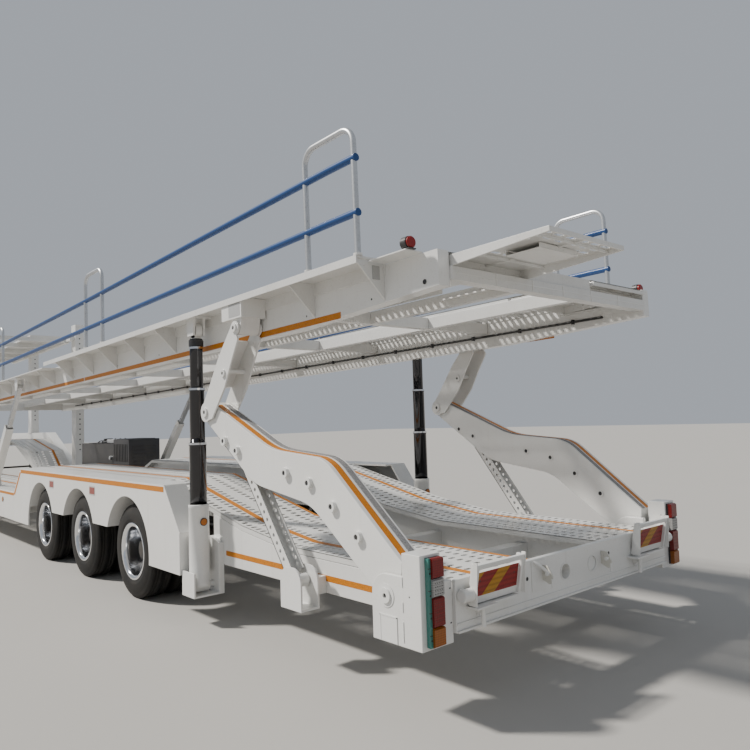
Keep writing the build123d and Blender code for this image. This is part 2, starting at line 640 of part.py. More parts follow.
def deck_link():
    """Upper link: two cheeks outside the arm, joined by the web along their front edges and a tube."""
    cheeks = None
    outline_rows = [(D_X - 35.0, D_Z - 75.0), (D_X + 30.0, D_Z + 32.0), (1840.0, 1862.0), (1978.0, 1670.0),
                    (2105.0, 1500.0), (2060.0, 1432.0), (1950.0, 1450.0), (1775.0, 1650.0), (1690.0, 1800.0)]
    for y in ((ARM_Y[0] - LINK_GAP - LINK_CHEEK, ARM_Y[0] - LINK_GAP),
              (ARM_Y[1] + LINK_GAP, ARM_Y[1] + LINK_GAP + LINK_CHEEK)):
        cheek = prism(outline_rows, y) + rod_y(D_X, D_Z, LINK_R, y) + rod_y(K_X, K_Z, KNUCKLE_R, y)
        cheeks = cheek if cheeks is None else cheeks + cheek
    span = (ARM_Y[0] - LINK_GAP, ARM_Y[1] + LINK_GAP)
    web = (span[0] - 1.0, span[1] + 1.0)
    cheeks += prism([(1747.0, 1964.0), (1840.0, 1862.0), (1978.0, 1670.0), (1966.0, 1664.0), (1829.0, 1855.0),
                     (1737.0, 1956.0)], web)
    cheeks += rod_y(1805.0, 1760.0, LINK_TUBE_R, web)
    return cheeks + rod_y(D_X, D_Z, PIN_R, span)


def prop():
    """Perforated safety prop, pinned at its foot, its head inside the arm."""
    angle = math.radians(PROP_ANGLE)
    end = (PROP_X + PROP_L * math.cos(angle), PROP_Z + PROP_L * math.sin(angle))
    strut = bar((PROP_X, PROP_Z), end, PROP_D, PROP_Y) + rod_y(PROP_X, PROP_Z, PROP_D / 2 + 2.0, PROP_Y)
    return strut - rod_y(PROP_X, PROP_Z, EYE_PIN_R + PIN_CLEAR, PROP_Y)


def barrel():
    """Cylinder barrel with its foot eye."""
    tube = rod_z(CYL_X, CYL_Y, BARREL_R, (CYL_FOOT_Z, BARREL_TOP_Z))
    tube += rod_y(CYL_X, CYL_FOOT_Z, 45.0, (CYL_Y - BARREL_R, CYL_Y + BARREL_R))
    tube -= rod_z(CYL_X, CYL_Y, STAGE[0][0] + BORE_CLEAR, (CYL_FOOT_Z + 70.0, BARREL_TOP_Z + 1.0))
    return tube - rod_y(CYL_X, CYL_FOOT_Z, EYE_PIN_R + PIN_CLEAR, (CYL_Y - BARREL_R, CYL_Y + BARREL_R))


def stage(i):
    """A telescopic stage; the last is solid and carries the rod's eye."""
    radius, top = STAGE[i]
    below = BARREL_TOP_Z if i == 0 else STAGE[i - 1][1]
    low = below - STAGE_HIDDEN
    tube = rod_z(CYL_X, CYL_Y, radius, (low, top))
    if i + 1 < len(STAGE):
        return tube - rod_z(CYL_X, CYL_Y, STAGE[i + 1][0] + BORE_CLEAR, (low - 1.0, top + 1.0))
    eye_y = (CYL_Y - 24.0, CYL_Y + 24.0)
    eye = rod_y(CYL_X, CYL_EYE_Z, EYE_PIN_R + EYE_DRIFT + 18.0, eye_y)
    eye += box((CYL_X - 30.0, CYL_X + 30.0), eye_y, (top - 1.0, CYL_EYE_Z))
    return tube + eye - rod_y(CYL_X, CYL_EYE_Z, EYE_PIN_R + EYE_DRIFT, eye_y)


def brace_parts():
    """Sleeve on the sill and the perforated bar on the deck that slides in it."""
    length = math.hypot(P_X - Q_X, P_Z - Q_Z)
    direction = ((P_X - Q_X) / length, (P_Z - Q_Z) / length)
    top = (Q_X + direction[0] * SLEEVE_L, Q_Z + direction[1] * SLEEVE_L)
    start = (Q_X + direction[0] * 70.0, Q_Z + direction[1] * 70.0)
    width = BRACE_Y[1] - BRACE_Y[0]
    sleeve = bar((Q_X, Q_Z), top, width, BRACE_Y) + rod_y(Q_X, Q_Z, 42.0, BRACE_Y)
    past = (Q_X + direction[0] * (SLEEVE_L + 5.0), Q_Z + direction[1] * (SLEEVE_L + 5.0))
    sleeve -= bar(start, past, width - 2 * SLEEVE_WALL, (BRACE_Y[0] + SLEEVE_WALL, BRACE_Y[1] - SLEEVE_WALL))
    sleeve -= rod_y(Q_X, Q_Z, 20.0 + PIN_CLEAR, BRACE_Y)
    reach = SLEEVE_L - BRACE_OVERLAP
    tip = (Q_X + direction[0] * reach, Q_Z + direction[1] * reach)
    middle = sum(BRACE_Y) / 2
    bar_y = (middle - BRACE_BAR / 2, middle + BRACE_BAR / 2)
    inner = bar((P_X, P_Z), tip, BRACE_BAR, bar_y) + rod_y(P_X, P_Z, 38.0, bar_y)
    return sleeve, inner - rod_y(P_X, P_Z, 20.0 + PIN_CLEAR, bar_y)


# Upper rear deck

def deck_beam():
    """Side beam of the upper rear deck, bored for its hinge pin."""
    rows = [(0.0, 0.0), (DECK_L, 0.0), (DECK_L, -BEAM_NOSE_D), (DECK_L - 1400.0, -BEAM_D),
            (WALK_X[0] + 800.0, -BEAM_D), (0.0, -BEAM_TAIL_D)]
    beam = prism(rows, BEAM_Y)
    return on_deck(beam - rod_y(HINGE_X, -HINGE_DROP, HINGE_PIN_R + PIN_CLEAR, BEAM_Y))


def deck_cross():
    """End members with the flaps' ledge and runners, inner beams and cross members between the side beams."""
    z = (-DECK_TRACK_T - 90.0, -DECK_TRACK_T - DECK_TRACK_DROP)
    half = BEAM_Y[0]
    inner_y = (DECK_TRACK_IN - 65.0, DECK_TRACK_IN - 15.0)
    end = box((-12.0, 60.0), (-half, half), (LEDGE_LOW_Z, FLAP_BUTT_Z - SEAT))
    end += box((0.0, 60.0), (-inner_y[1], inner_y[1]), (FLAP_BUTT_Z - SEAT, -DECK_TRACK_DROP))
    runner_z = (FLAP_BUTT_Z - SEAT - RUNNER_T, FLAP_BUTT_Z - SEAT)
    pieces = [end]
    pieces.append(box((DECK_L - 60.0, DECK_L), (-half, half), (-BEAM_NOSE_D + 20.0, z[1])))
    for side in (-1, 1):
        y = tuple(sorted((side * inner_y[0], side * inner_y[1])))
        pieces.append(box((60.0, DECK_L - 60.0), y, z))
        for y in ((inner_y[1], inner_y[1] + RUNNER_W), (half - RUNNER_W, half)):
            pieces.append(box((60.0, FLAP_BAY), tuple(sorted((side * y[0], side * y[1]))), runner_z))
    for i in range(1, DECK_BAYS):
        x = (DECK_L * i / DECK_BAYS - 30.0, DECK_L * i / DECK_BAYS + 30.0)
        pieces.append(box(x, (-inner_y[0], inner_y[0]), z))
        pieces.append(box(x, (inner_y[1], half), z))
        pieces.append(box(x, (-half, -inner_y[1]), z))
    return on_deck(group(pieces))


def deck_track():
    """One wheel track of the upper deck, a bare sheet above the flap's bay."""
    y = (DECK_TRACK_IN, BEAM_Y[0] - 1.0)
    top = -DECK_TRACK_DROP
    track = box((FLAP_BAY + 10.0, DECK_L - 70.0), y, (top - DECK_TRACK_T, top))
    return on_deck(track + box((0.0, FLAP_BAY + 10.0), y, (top - DECK_SHEET_T, top)))


def walkway():
    """Walkway along the outside of the deck with its lip and gussets."""
    y = (BEAM_Y[1], HALF_WIDTH)
    walk = box(WALK_X, y, (WALK_RISE - WALK_T, WALK_RISE))
    walk += box(WALK_X, (y[1] - 6.0, y[1]), (-15.0, WALK_RISE))
    walk += box(WALK_FRONT_X, y, (WALK_FRONT_Z - WALK_T, WALK_FRONT_Z))
    walk += box(WALK_X, (y[0], y[0] + WALK_STRIP), (-60.0, WALK_RISE))
    walk += box((WALK_X[1], WALK_FRONT_X[1]), (y[0], y[0] + WALK_STRIP), (-60.0, WALK_FRONT_Z))
    x = WALK_X[0] + 10.0
    while x < WALK_FRONT_X[1]:
        if all(abs(x - centre) > 190.0 for centre in (D_X + 35.0, CYL_X, P_X)):
            top = WALK_RISE - WALK_T if x < WALK_X[1] else WALK_FRONT_Z - WALK_T
            low = -beam_depth(x) + 45.0
            corner = [(0.0, y[0], top), (0.0, y[1] - 6.0, top), (0.0, y[1] - 6.0, top - 12.0), (0.0, y[0], low)]
            face = make_face(Polyline(*[(x, py, pz) for _, py, pz in corner], close=True))
            walk += extrude(face, amount=GUSSET_T, dir=(1, 0, 0))
        x += GUSSET_STEP
    return on_deck(walk)


def handrail():
    """U-shaped stanchions joined by the two rails."""
    y = HALF_WIDTH - ROPE_R - 2.0
    rail = None
    for rear, front, _, _ in STANCHIONS:
        foot = WALK_RISE if front < WALK_X[1] else WALK_FRONT_Z
        top = foot + STANCHION_H
        path = FilletPolyline((rear, y, foot), (rear, y, top), (front, y, top), (front, y, foot), radius=90.0)
        section = Plane(origin=(rear, y, foot), z_dir=(0, 0, 1)) * Circle(RAIL_TUBE_R)
        loop = sweep(section, path=path)
        rail = loop if rail is None else rail + loop
    for level in (2, 3):
        first, last = STANCHIONS[0], STANCHIONS[-1]
        points = [(first[0] - ROPE_R, y, first[level])]
        points += [((row[0] + row[1]) / 2, y, row[level]) for row in STANCHIONS]
        points.append((last[1] + ROPE_R, y, last[level] - 2.0))
        path = FilletPolyline(*points, radius=5 * ROPE_R)
        section = Plane(origin=points[0], z_dir=path % 0) * Circle(ROPE_R)
        rail += sweep(section, path=path)
    return on_deck(rail)


def deck_brackets():
    """Carriers on the deck for the links, the cylinders and the braces."""
    beam_y = BEAM_Y[1]
    dx, dz = deck_local(D_X, D_Z)
    side_y = (beam_y + WALK_STRIP + SEAT, HALF_WIDTH - 10.0)
    span = (ARM_Y[0], ARM_Y[1])
    box_top = WALK_RISE - WALK_T - 1.0
    link = box((dx - 90.0, dx + 160.0), side_y, (dz + LINK_R + 15.0, box_top))
    link += prism([(dx - 60.0, dz + LINK_R + 16.0), (dx - 42.0, dz - 10.0), (dx + 42.0, dz - 10.0),
                   (dx + 60.0, dz + LINK_R + 16.0)], span)
    link += rod_y(dx, dz, 43.0, span)
    link -= rod_y(dx, dz, PIN_R + PIN_CLEAR, span)
    ex, ez = deck_local(CYL_X, CYL_EYE_Z)
    cylinder = box((ex - 80.0, ex + 80.0), side_y, (box_top - 14.0, box_top))
    for y in ((CYL_Y - 46.0, CYL_Y - 31.0), (CYL_Y + 31.0, CYL_Y + 46.0)):
        cylinder += prism([(ex - 60.0, box_top - 13.0), (ex - 45.0, ez - 40.0), (ex + 45.0, ez - 40.0),
                           (ex + 60.0, box_top - 13.0)], y)
    cylinder += rod_y(ex, ez, EYE_PIN_R, (CYL_Y - 46.0, CYL_Y + 46.0))
    px, pz = deck_local(P_X, P_Z)
    brace_top = WALK_FRONT_Z - WALK_T - 1.0
    brace = box((px - 120.0, px + 120.0), side_y, (brace_top - 14.0, brace_top))
    middle = sum(BRACE_Y) / 2
    for side in (-1, 1):
        near = middle + side * (BRACE_BAR / 2 + CLEAR + 1.0)
        far = near + side * ARM_PLATE
        brace += prism([(px - 70.0, brace_top - 13.0), (px - 30.0, pz - 38.0), (px + 30.0, pz - 38.0),
                        (px + 70.0, brace_top - 13.0)], tuple(sorted((near, far))))
    brace += rod_y(px, pz, 20.0, (middle - 40.0, middle + 40.0))
    return [on_deck(piece) for piece in (link, cylinder, brace)]


def flap(extended):
    """Wedge-shaped flap that slides in and out under a track: plate, side cheeks, cross ribs and box."""
    y0, y1 = FLAP_Y
    x0, x1 = -FLAP_OUT, FLAP_IN
    under = FLAP_TOP_Z - FLAP_PLATE
    side = [(x0, FLAP_TOP_Z), (x1, FLAP_TOP_Z), (x1, FLAP_BUTT_Z), (0.0, FLAP_BUTT_Z), (x0, FLAP_TIP_Z)]
    leaf = box((x0, x1), (y0, y1), (under, FLAP_TOP_Z))
    leaf += prism(side, (y0, y0 + FLAP_SIDE)) + prism(side, (y1 - FLAP_SIDE, y1))
    leaf += box((x0, x0 + FLAP_PLATE), (y0, y1), (FLAP_TIP_Z, FLAP_TOP_Z))
    leaf += box((x1 - FLAP_SIDE, x1), (y0, y1), (FLAP_BUTT_Z, FLAP_TOP_Z))
    leaf += box((x0 + 170.0, x0 + 370.0), (y0 + 150.0, y1 - 170.0), (FLAP_TIP_Z - 10.0, under))
    return on_deck(leaf if extended else Pos(FLAP_TRAVEL, 0, 0) * leaf)


def deck_cable():
    """Cable clipped along the inner face of the right side beam."""
    y, z = -BEAM_Y[0] + CABLE_R + 4.0, -BEAM_TAIL_D + 35.0
    cable = Pos(sum(CLIP_X) / 2, y, z) * Rot(0, 90, 0) * Cylinder(CABLE_R, CLIP_X[1] - CLIP_X[0])
    x = CLIP_X[0] + CLIP_STEP / 2
    while x < CLIP_X[1]:
        clip_y = (-BEAM_Y[0], y + CABLE_R + 4.0)
        cable += box((x - 8.0, x + 8.0), clip_y, (z - CABLE_R - 8.0, z + CABLE_R + 8.0))
        x += CLIP_STEP
    return on_deck(cable)


# Front deck

def front_deck():
    """Lifting front deck: two beams, its floor tracks and the pads that ride on the columns."""
    length = FRONT_X[1] - FRONT_X[0]
    beam = box((0.0, length), FRONT_BEAM_Y, (-FRONT_BEAM_D, 0.0))
    pad_y = (FRONT_BEAM_Y[1], COLUMN_Y[0] - 0.5)
    for x in COLUMN_X:
        centre = x - FRONT_X[0]
        if centre > 0:
            beam += box((centre - 60.0, centre + 60.0), pad_y, (-120.0, -20.0))
        else:
            beam += box((centre - 60.0, 20.0), FRONT_BEAM_Y, (-120.0, -20.0))
            beam += box((centre - 60.0, centre + 60.0), pad_y, (-120.0, -20.0))
    beam += box((30.0, length - 30.0), (DECK_TRACK_IN, FRONT_BEAM_Y[0]), (-45.0, -10.0))
    deck = beam + mirror(beam, about=Plane.XZ)
    for i in range(5):
        x = 30.0 + (length - 120.0) * i / 4
        deck += box((x, x + 60.0), (-FRONT_BEAM_Y[0], FRONT_BEAM_Y[0]), (-125.0, -45.0))
    return Pos(FRONT_X[0], 0, FRONT_TOP_Z) * Rot(0, DECK_TILT, 0) * deck


def save(name, shape):
    """Write one node, moved back to the mid-length origin."""
    back = Location((-X_MID, 0, 0))
    solids = [solid.moved(back) for solid in shape.solids()]
    export_step(solids[0] if len(solids) == 1 else Compound(solids), "parts/" + name + ".step")


def main():
    os.makedirs("parts", exist_ok=True)
    save("main_rails", both(main_rail()))
    save("tail_rails", both(tail_rail()))
    save("cross_members", cross_members())
    save("side_sills", both(side_sill()))
    save("lower_tracks", both(lower_track()))
    save("fender_panels", both(fender_panel()))
    save("tail_crossbeam", tail_crossbeam())
    save("tail_posts", both(tail_post()))
    save("tail_lamps", both(tail_lamp()))
    save("ramp_ends", both(ramp_end()))
    save("axles", group([axle(AXLE_X + AXLE_STEP * i) for i in range(AXLES)]))
    save("suspension", both(suspension()))
    save("landing_legs", landing_legs())
    save("kingpin", kingpin())
    save("front_columns", front_columns())
    save("power_pack", power_pack())
    save("side_carriers", side_carriers())
    save("deck_beams", both(deck_beam()))
    save("deck_cross", deck_cross())
    save("deck_tracks", both(deck_track()))
    save("deck_walkways", both(walkway()))
    save("deck_handrails", both(handrail()))
    carriers = deck_brackets()
    save("deck_brackets", group(carriers + [mirror(piece, about=Plane.XZ) for piece in carriers]))
    save("deck_cable", deck_cable())
    save("front_deck", front_deck())
    save("flap_left", flap(True))
    save("flap_right", mirror(flap(False), about=Plane.XZ))
    sleeve, brace_bar = brace_parts()
    sided = [
        ("lifting_arm", lifting_arm()), ("deck_link", deck_link()), ("prop", prop()), ("barrel", barrel()),
        ("brace_sleeve", sleeve), ("brace_bar", brace_bar),
    ] + [("stage_%d" % (i + 1), stage(i)) for i in range(len(STAGE))]
    for name, shape in sided:
        save(name + "_left", shape)
        save(name + "_right", mirror(shape, about=Plane.XZ))
    for i in range(AXLES):
        for side, word in ((1, "left"), (-1, "right")):
            tyres, rims = wheel_pair(AXLE_X + AXLE_STEP * i, side)
            save("tyres_%d_%s" % (i + 1, word), tyres)
            save("rims_%d_%s" % (i + 1, word), rims)


main()
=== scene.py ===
import json
import math

import bmesh
import bpy
from bpy.props import FloatProperty, FloatVectorProperty, IntProperty, PointerProperty
from mathutils import Matrix, Vector


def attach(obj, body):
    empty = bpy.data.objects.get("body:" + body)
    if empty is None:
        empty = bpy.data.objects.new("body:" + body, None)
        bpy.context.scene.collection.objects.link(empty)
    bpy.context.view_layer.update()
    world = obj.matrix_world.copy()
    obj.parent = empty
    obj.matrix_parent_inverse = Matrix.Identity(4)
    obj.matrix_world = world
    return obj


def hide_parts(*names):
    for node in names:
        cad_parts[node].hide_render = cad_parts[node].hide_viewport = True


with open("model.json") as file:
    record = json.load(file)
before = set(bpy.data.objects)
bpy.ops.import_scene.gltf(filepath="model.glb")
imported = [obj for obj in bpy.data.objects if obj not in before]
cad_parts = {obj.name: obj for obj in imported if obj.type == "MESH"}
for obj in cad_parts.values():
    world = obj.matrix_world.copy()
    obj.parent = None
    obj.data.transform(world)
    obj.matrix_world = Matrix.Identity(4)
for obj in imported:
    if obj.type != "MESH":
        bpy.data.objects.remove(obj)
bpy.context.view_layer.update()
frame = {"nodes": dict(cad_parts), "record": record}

bl_info = {
    "name": "Car transporter semi-trailer",
    "version": (1, 0, 0),
    "blender": (4, 5, 0),
    "location": "View3D > Sidebar > Transporter",
    "description": "Dresses the two-deck car transporter semi-trailer",
    "category": "Object",
}

# Stations run forward from the rear face of the tail posts, in metres
X_MID = 8.01006
HALF_WIDTH = 1.25
NOSE_X = 16.6
AXLES_X = (3.43, 4.63, 5.83)
AXLE_FRONT_X = 6.6
TYRE_R = 0.3835
TYRE_W = 0.211
TWIN_Y = (1.0945, 0.8545)
TRACK_Y = (0.35, 1.0)
SLOT_ROWS = (0.06, 0.15, 0.255, 0.40, 0.51, 0.605)     # from the track's inner edge
FLOOR = [(0.0, 0.62), (1.4, 0.63), (2.0, 0.705), (3.2, 0.968), (6.6, 0.968), (7.4, 0.66), (11.9, 0.66),
         (12.4, 1.0), (13.7, 1.22), (16.6, 1.22)]
DECK_TAIL_Z = 2.233
DECK_TILT = math.radians(1.17)
DECK_L = 12.4
FLAP = (-0.58, 0.05, 0.56)      # tip, butt and travel, along the deck
ARM_PIVOT = (0.235, 0.568)
KNUCKLE = (2.04, 1.495)
LINK_PIN = (1.629, 2.028)
PROP_FOOT = (1.1, 0.49)
CYLINDER = (2.355, 1.141)
BRACE_PIN = (6.95, 1.94)
BRACE_FOOT = (8.15, 0.76)
TAIL_FACE = -0.0203             # just off the crossbeam's rear face
SIDE_FACE = 1.2502              # just off the posts' and sills' outer faces
COLUMNS = ((11.95, 0.95), (15.0, 1.6))      # station and lowest pin hole
PACK_Y = (-0.95, -0.48)
CAMERA_AT = (-2.268, 3.488, 1.412)
CAMERA_TURN = (-41.482, 3.656, -1.873)      # yaw, pitch and roll in degrees
SUN_TOWARD = (-0.50, -0.47, -0.72)

STATION = Matrix.Translation((-X_MID, 0, 0))
DECK = Matrix.Translation((-X_MID, 0, DECK_TAIL_Z)) @ Matrix.Rotation(DECK_TILT, 4, "Y")
SIDES = ((1, "left"), (-1, "right"))
BOX_FACES = [(0, 1, 3, 2), (4, 6, 7, 5), (0, 4, 5, 1), (2, 3, 7, 6), (0, 2, 6, 4), (1, 5, 7, 3)]


# Shapes


def rounded(corners):
    """Points of an XZ outline whose corners are (x, z) or (x, z, radius)."""
    points = []
    for i, corner in enumerate(corners):
        here = Vector(corner[:2])
        if len(corner) < 3:
            points.append(here)
            continue
        back = (Vector(corners[i - 1][:2]) - here).normalized()
        on = (Vector(corners[(i + 1) % len(corners)][:2]) - here).normalized()
        half = back.angle(on) / 2
        reach = corner[2] / math.tan(half)
        centre = here + (back + on).normalized() * (corner[2] / math.sin(half))
        start, end = here + back * reach - centre, here + on * reach - centre
        turn = start.angle(end)
        steps = max(4, int(turn / 0.12))
        for k in range(steps + 1):
            t = k / steps
            points.append(centre + (start * math.sin((1 - t) * turn) + end * math.sin(t * turn)) / math.sin(turn))
    return points


def floor_z(x):
    """Height of the lower floor at a station."""
    for (x0, z0), (x1, z1) in zip(FLOOR, FLOOR[1:]):
        if x <= x1:
            return z0 + (z1 - z0) * (x - x0) / (x1 - x0)
    return FLOOR[-1][1]


def slab_faces(n):
    """Faces of a slab whose two n-sided ends are listed one after the other."""
    ends = [tuple(range(n)), tuple(reversed(range(n, 2 * n)))]
    return ends + [(k, k + n, (k + 1) % n + n, (k + 1) % n) for k in range(n)]


class Shape:
    """Collects simple solids into one mesh."""

    def __init__(self):
        self.points, self.faces, self.finish, self.soft = [], [], [], []

    def add(self, points, faces, finish=0, soft=False):
        base = len(self.points)
        self.points += [tuple(p) for p in points]
        self.faces += [tuple(base + k for k in face) for face in faces]
        self.finish += [finish] * len(faces)
        self.soft += [soft] * len(faces)

    def box(self, x, y, z, finish=0):
        self.add([(a, b, c) for a in x for b in y for c in z], BOX_FACES, finish)

    def prism(self, corners, y, finish=0):
        """An XZ outline between two values of y."""
        ring = rounded(corners)
        area = sum(a.x * b.y - b.x * a.y for a, b in zip(ring, ring[1:] + ring[:1]))
        if area < 0:
            ring.reverse()
        n = len(ring)
        points = [(p.x, y[0], p.y) for p in ring] + [(p.x, y[1], p.y) for p in ring]
        self.add(points, slab_faces(n), finish)

    def sweep(self, path, radius, finish=0, sides=14):
        """A round tube along points."""
        path = [Vector(p) for p in path]
        normal = None
        rings = []
        for i, p in enumerate(path):
            ahead = (path[min(i + 1, len(path) - 1)] - path[max(i - 1, 0)]).normalized()
            if normal is None:
                normal = ahead.orthogonal().normalized()
            normal = (normal - ahead * normal.dot(ahead)).normalized()
            other = ahead.cross(normal)
            rings.append([p + (normal * math.cos(a) + other * math.sin(a)) * radius
                          for a in (2 * math.pi * k / sides for k in range(sides))])
        points = [q for ring in rings for q in ring]
        faces = []
        for i in range(len(rings) - 1):
            for k in range(sides):
                a, b = i * sides + k, i * sides + (k + 1) % sides
                faces.append((a, b, b + sides, a + sides))
        self.add(points, faces, finish, True)
        last = len(points) - sides
        self.add(points[:sides], [tuple(reversed(range(sides)))], finish)
        self.add(points[last:], [tuple(range(sides))], finish)

    def lathe(self, profile, centre, axis="y", finish=0, steps=48, soft=True, closed=False):
        """Rows of (radius, offset along the axis) turned round an axis through centre."""
        points = []
        for k in range(steps):
            a = 2 * math.pi * k / steps
            for radius, offset in profile:
                c, s = radius * math.cos(a), radius * math.sin(a)
                if axis == "y":
                    points.append((centre[0] + c, centre[1] + offset, centre[2] + s))
                elif axis == "x":
                    points.append((centre[0] + offset, centre[1] + s, centre[2] + c))
                else:
                    points.append((centre[0] + s, centre[1] + c, centre[2] + offset))
        n = len(profile)
        faces = []
        for k in range(steps):
            k2 = (k + 1) % steps
            for i in range(n if closed else n - 1):
                j = (i + 1) % n
                faces.append((k * n + i, k * n + j, k2 * n + j, k2 * n + i))
        self.add(points, faces, finish, soft)

    def rod(self, centre, radius, span, axis="y", finish=0, steps=28, chamfer=0.002):
        """A chamfered round bar; span is the pair of offsets from centre along the axis."""
        a, b = span
        profile = [(0.0001, a), (radius - chamfer, a), (radius, a + chamfer), (radius, b - chamfer),
                   (radius - chamfer, b), (0.0001, b)]
        self.lathe(profile, centre, axis, finish, steps, False)

    def ring(self, centre, outer, inner, span, axis="y", finish=0, steps=28):
        """A washer or collar."""
        a, b = span
        self.lathe([(inner, a), (outer, a), (outer, b), (inner, b)], centre, axis, finish, steps, False, True)

    def sheet(self, us, vs, hole, depth, place, finish=0):
        """A plate of cells over us and vs; hole(i, j) gives 4 or 8 points of a cut-out, or None."""
        for i in range(len(us) - 1):
            for j in range(len(vs) - 1):
                u0, u1, v0, v1 = us[i], us[i + 1], vs[j], vs[j + 1]
                edge = [(u0, v0), (u1, v0), (u1, v1), (u0, v1)]
                cut = hole(i, j, (u0 + u1) / 2, (v0 + v1) / 2)
                if not cut:
                    points = [place(u, v, w) for w in (0.0, -depth) for u, v in edge]
                    self.add(points, [(0, 1, 2, 3), (7, 6, 5, 4)], finish)
                    continue
                if len(cut) == 8:
                    um, vm = (u0 + u1) / 2, (v0 + v1) / 2
                    edge = [(u0, v0), (um, v0), (u1, v0), (u1, vm), (u1, v1), (um, v1), (u0, v1), (u0, vm)]
                n = len(cut)
                points = [place(u, v, w) for w in (0.0, -depth) for u, v in edge + cut]
                faces = []
                for k in range(n):
                    m = (k + 1) % n
                    faces.append((k, m, n + m, n + k))
                    faces.append((2 * n + m, 2 * n + k, 3 * n + k, 3 * n + m))
                    faces.append((n + k, n + m, 3 * n + m, 3 * n + k))
                self.add(points, faces, finish)

    def mirror(self):
        """Adds the right-hand copy of everything so far."""
        base = len(self.points)
        self.points += [(x, -y, z) for x, y, z in self.points]
        self.faces += [tuple(base + k for k in reversed(face)) for face in self.faces]
        self.finish += self.finish
        self.soft += self.soft
        return self

    def flipped(self):
        """Turns it into the right-hand copy."""
        self.points = [(x, -y, z) for x, y, z in self.points]
        self.faces = [tuple(reversed(face)) for face in self.faces]
        return self

    def make(self, name, body, materials, slot, place=STATION, bevel=0.0, stands_for=()):
        """Makes the piece, in place on its body."""
        mesh = bpy.data.meshes.new(name)
        mesh.from_pydata(self.points, [], self.faces)
        for material in materials:
            mesh.materials.append(material)
        mesh.polygons.foreach_set("material_index", self.finish)
        mesh.polygons.foreach_set("use_smooth", self.soft)
        mesh.validate()
        return seat(bpy.data.objects.new(name, mesh), body, place, bevel, stands_for)


def seat(piece, body, place=None, bevel=0.0, stands_for=()):
    """Links a piece, rounds its edges, and rides it on its body."""
    bpy.context.scene.collection.objects.link(piece)
    if place is not None:
        piece.matrix_world = place
    if bevel:
        soften = piece.modifiers.new("Edges", "BEVEL")
        soften.width = bevel
        soften.segments = 2
        soften.limit_method = "ANGLE"
        soften.angle_limit = math.radians(40)
        soften.use_clamp_overlap = True
    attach(piece, body)
    if stands_for:
        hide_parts(*stands_for)
    return piece


def body_of(node):
    """The body that a CAD node rides on."""
    for body, nodes in frame["record"]["behaviour"]["bodies"].items():
        if node in nodes:
            return body
    raise RuntimeError("no body holds " + node)


def dress(node, material, bevel=0.003, name=None):
    """A copy of a CAD node with rounded edges, which stands for it."""
    source = frame["nodes"][node]
    mesh = source.data.copy()
    mesh.name = (name or node) + "_dressed"
    work = bmesh.new()
    work.from_mesh(mesh)
    bmesh.ops.remove_doubles(work, verts=work.verts, dist=1e-5)
    bmesh.ops.dissolve_limit(work, angle_limit=math.radians(0.6), verts=work.verts, edges=work.edges)
    work.to_mesh(mesh)
    work.free()
    mesh.materials.clear()
    mesh.materials.append(material)
    mesh.polygons.foreach_set("material_index", [0] * len(mesh.polygons))
    mesh.polygons.foreach_set("use_smooth", [False] * len(mesh.polygons))
    mesh.update()
    piece = bpy.data.objects.new(mesh.name, mesh)
    return seat(piece, body_of(node), None, bevel, (node,))


def obround(u, v, half_u, half_v):
    """Eight points of a slot whose long way is v."""
    end = half_v - half_u * 0.75
    return [(u - half_u, v - end), (u, v - half_v), (u + half_u, v - end), (u + half_u, v),
            (u + half_u, v + end), (u, v + half_v), (u - half_u, v + end), (u - half_u, v)]


def octagon(u, v, half_u, half_v):
    """Eight points of a round or oval hole, from its lower left."""
    turns = [math.radians(225 + 45 * k) for k in range(8)]
    return [(u + half_u * math.cos(a), v + half_v * math.sin(a)) for a in turns]


def brick(shape, put, u, v, w, finish=0):
    """A box between two values of each of u, v and w, bent by put."""
    points = [put(a, b, c) for a in u for b in v for c in w]
    shape.add(points, BOX_FACES, finish)


def slotted(shape, xs, y, surface, depth=0.005, skirt=0.036, bare=0.0):
    """A track of slotted plate with folded edges and ribs; surface(x) is its height."""
    look = bpy.context.scene.transporter_track
    y0, y1 = y

    def put(u, v, w):
        return (u, v, surface(u) + w)

    rows = [y0 + row for row in SLOT_ROWS]
    vs = [y0] + [(a + b) / 2 for a, b in zip(rows, rows[1:])] + [y1]
    half_l, half_w = look.slot_length / 2, look.slot_width / 2

    def hole(i, j, u, v):
        if xs[i + 1] - xs[i] < 2 * half_w + 0.008 or i == 0:
            return None
        return obround(u, rows[j], half_w, half_l)

    shape.sheet(xs, vs, hole, depth, put)
    for a, b in ((y0, y0 + 0.004), (y1 - 0.004, y1)):
        for u0, u1 in zip(xs, xs[1:]):
            if u1 > bare:
                brick(shape, put, (u0, u1), (a, b), (-skirt, -depth))
    for i in range(6, len(xs) - 1, 10):
        if xs[i] > bare:
            brick(shape, put, (xs[i] - 0.004, xs[i] + 0.004), (y0 + 0.005, y1 - 0.005), (-skirt, -depth))
    return put


def steps_between(start, end, pitch, keep=()):
    """Values from start to end about a pitch apart that also hit each value in keep."""
    marks = [start] + [k for k in keep if start < k < end] + [end]
    out = [start]
    for a, b in zip(marks, marks[1:]):
        count = max(1, round((b - a) / pitch))
        out += [a + (b - a) * k / count for k in range(1, count + 1)]
    return out


def tape(shape, corners, y, side=1, finish=0):
    """A strip of tape on an upright face at y."""
    shape.prism(corners, tuple(sorted((side * y, side * (y + 0.0012)))), finish)


def bar_frame(foot, along):
    """A function that places (u along a bar, v across it, y) in an upright plane."""
    up = Vector((-along.y, along.x))

    def put(u, v, y):
        p = foot + along * u + up * v
        return (p.x, y, p.y)

    return put


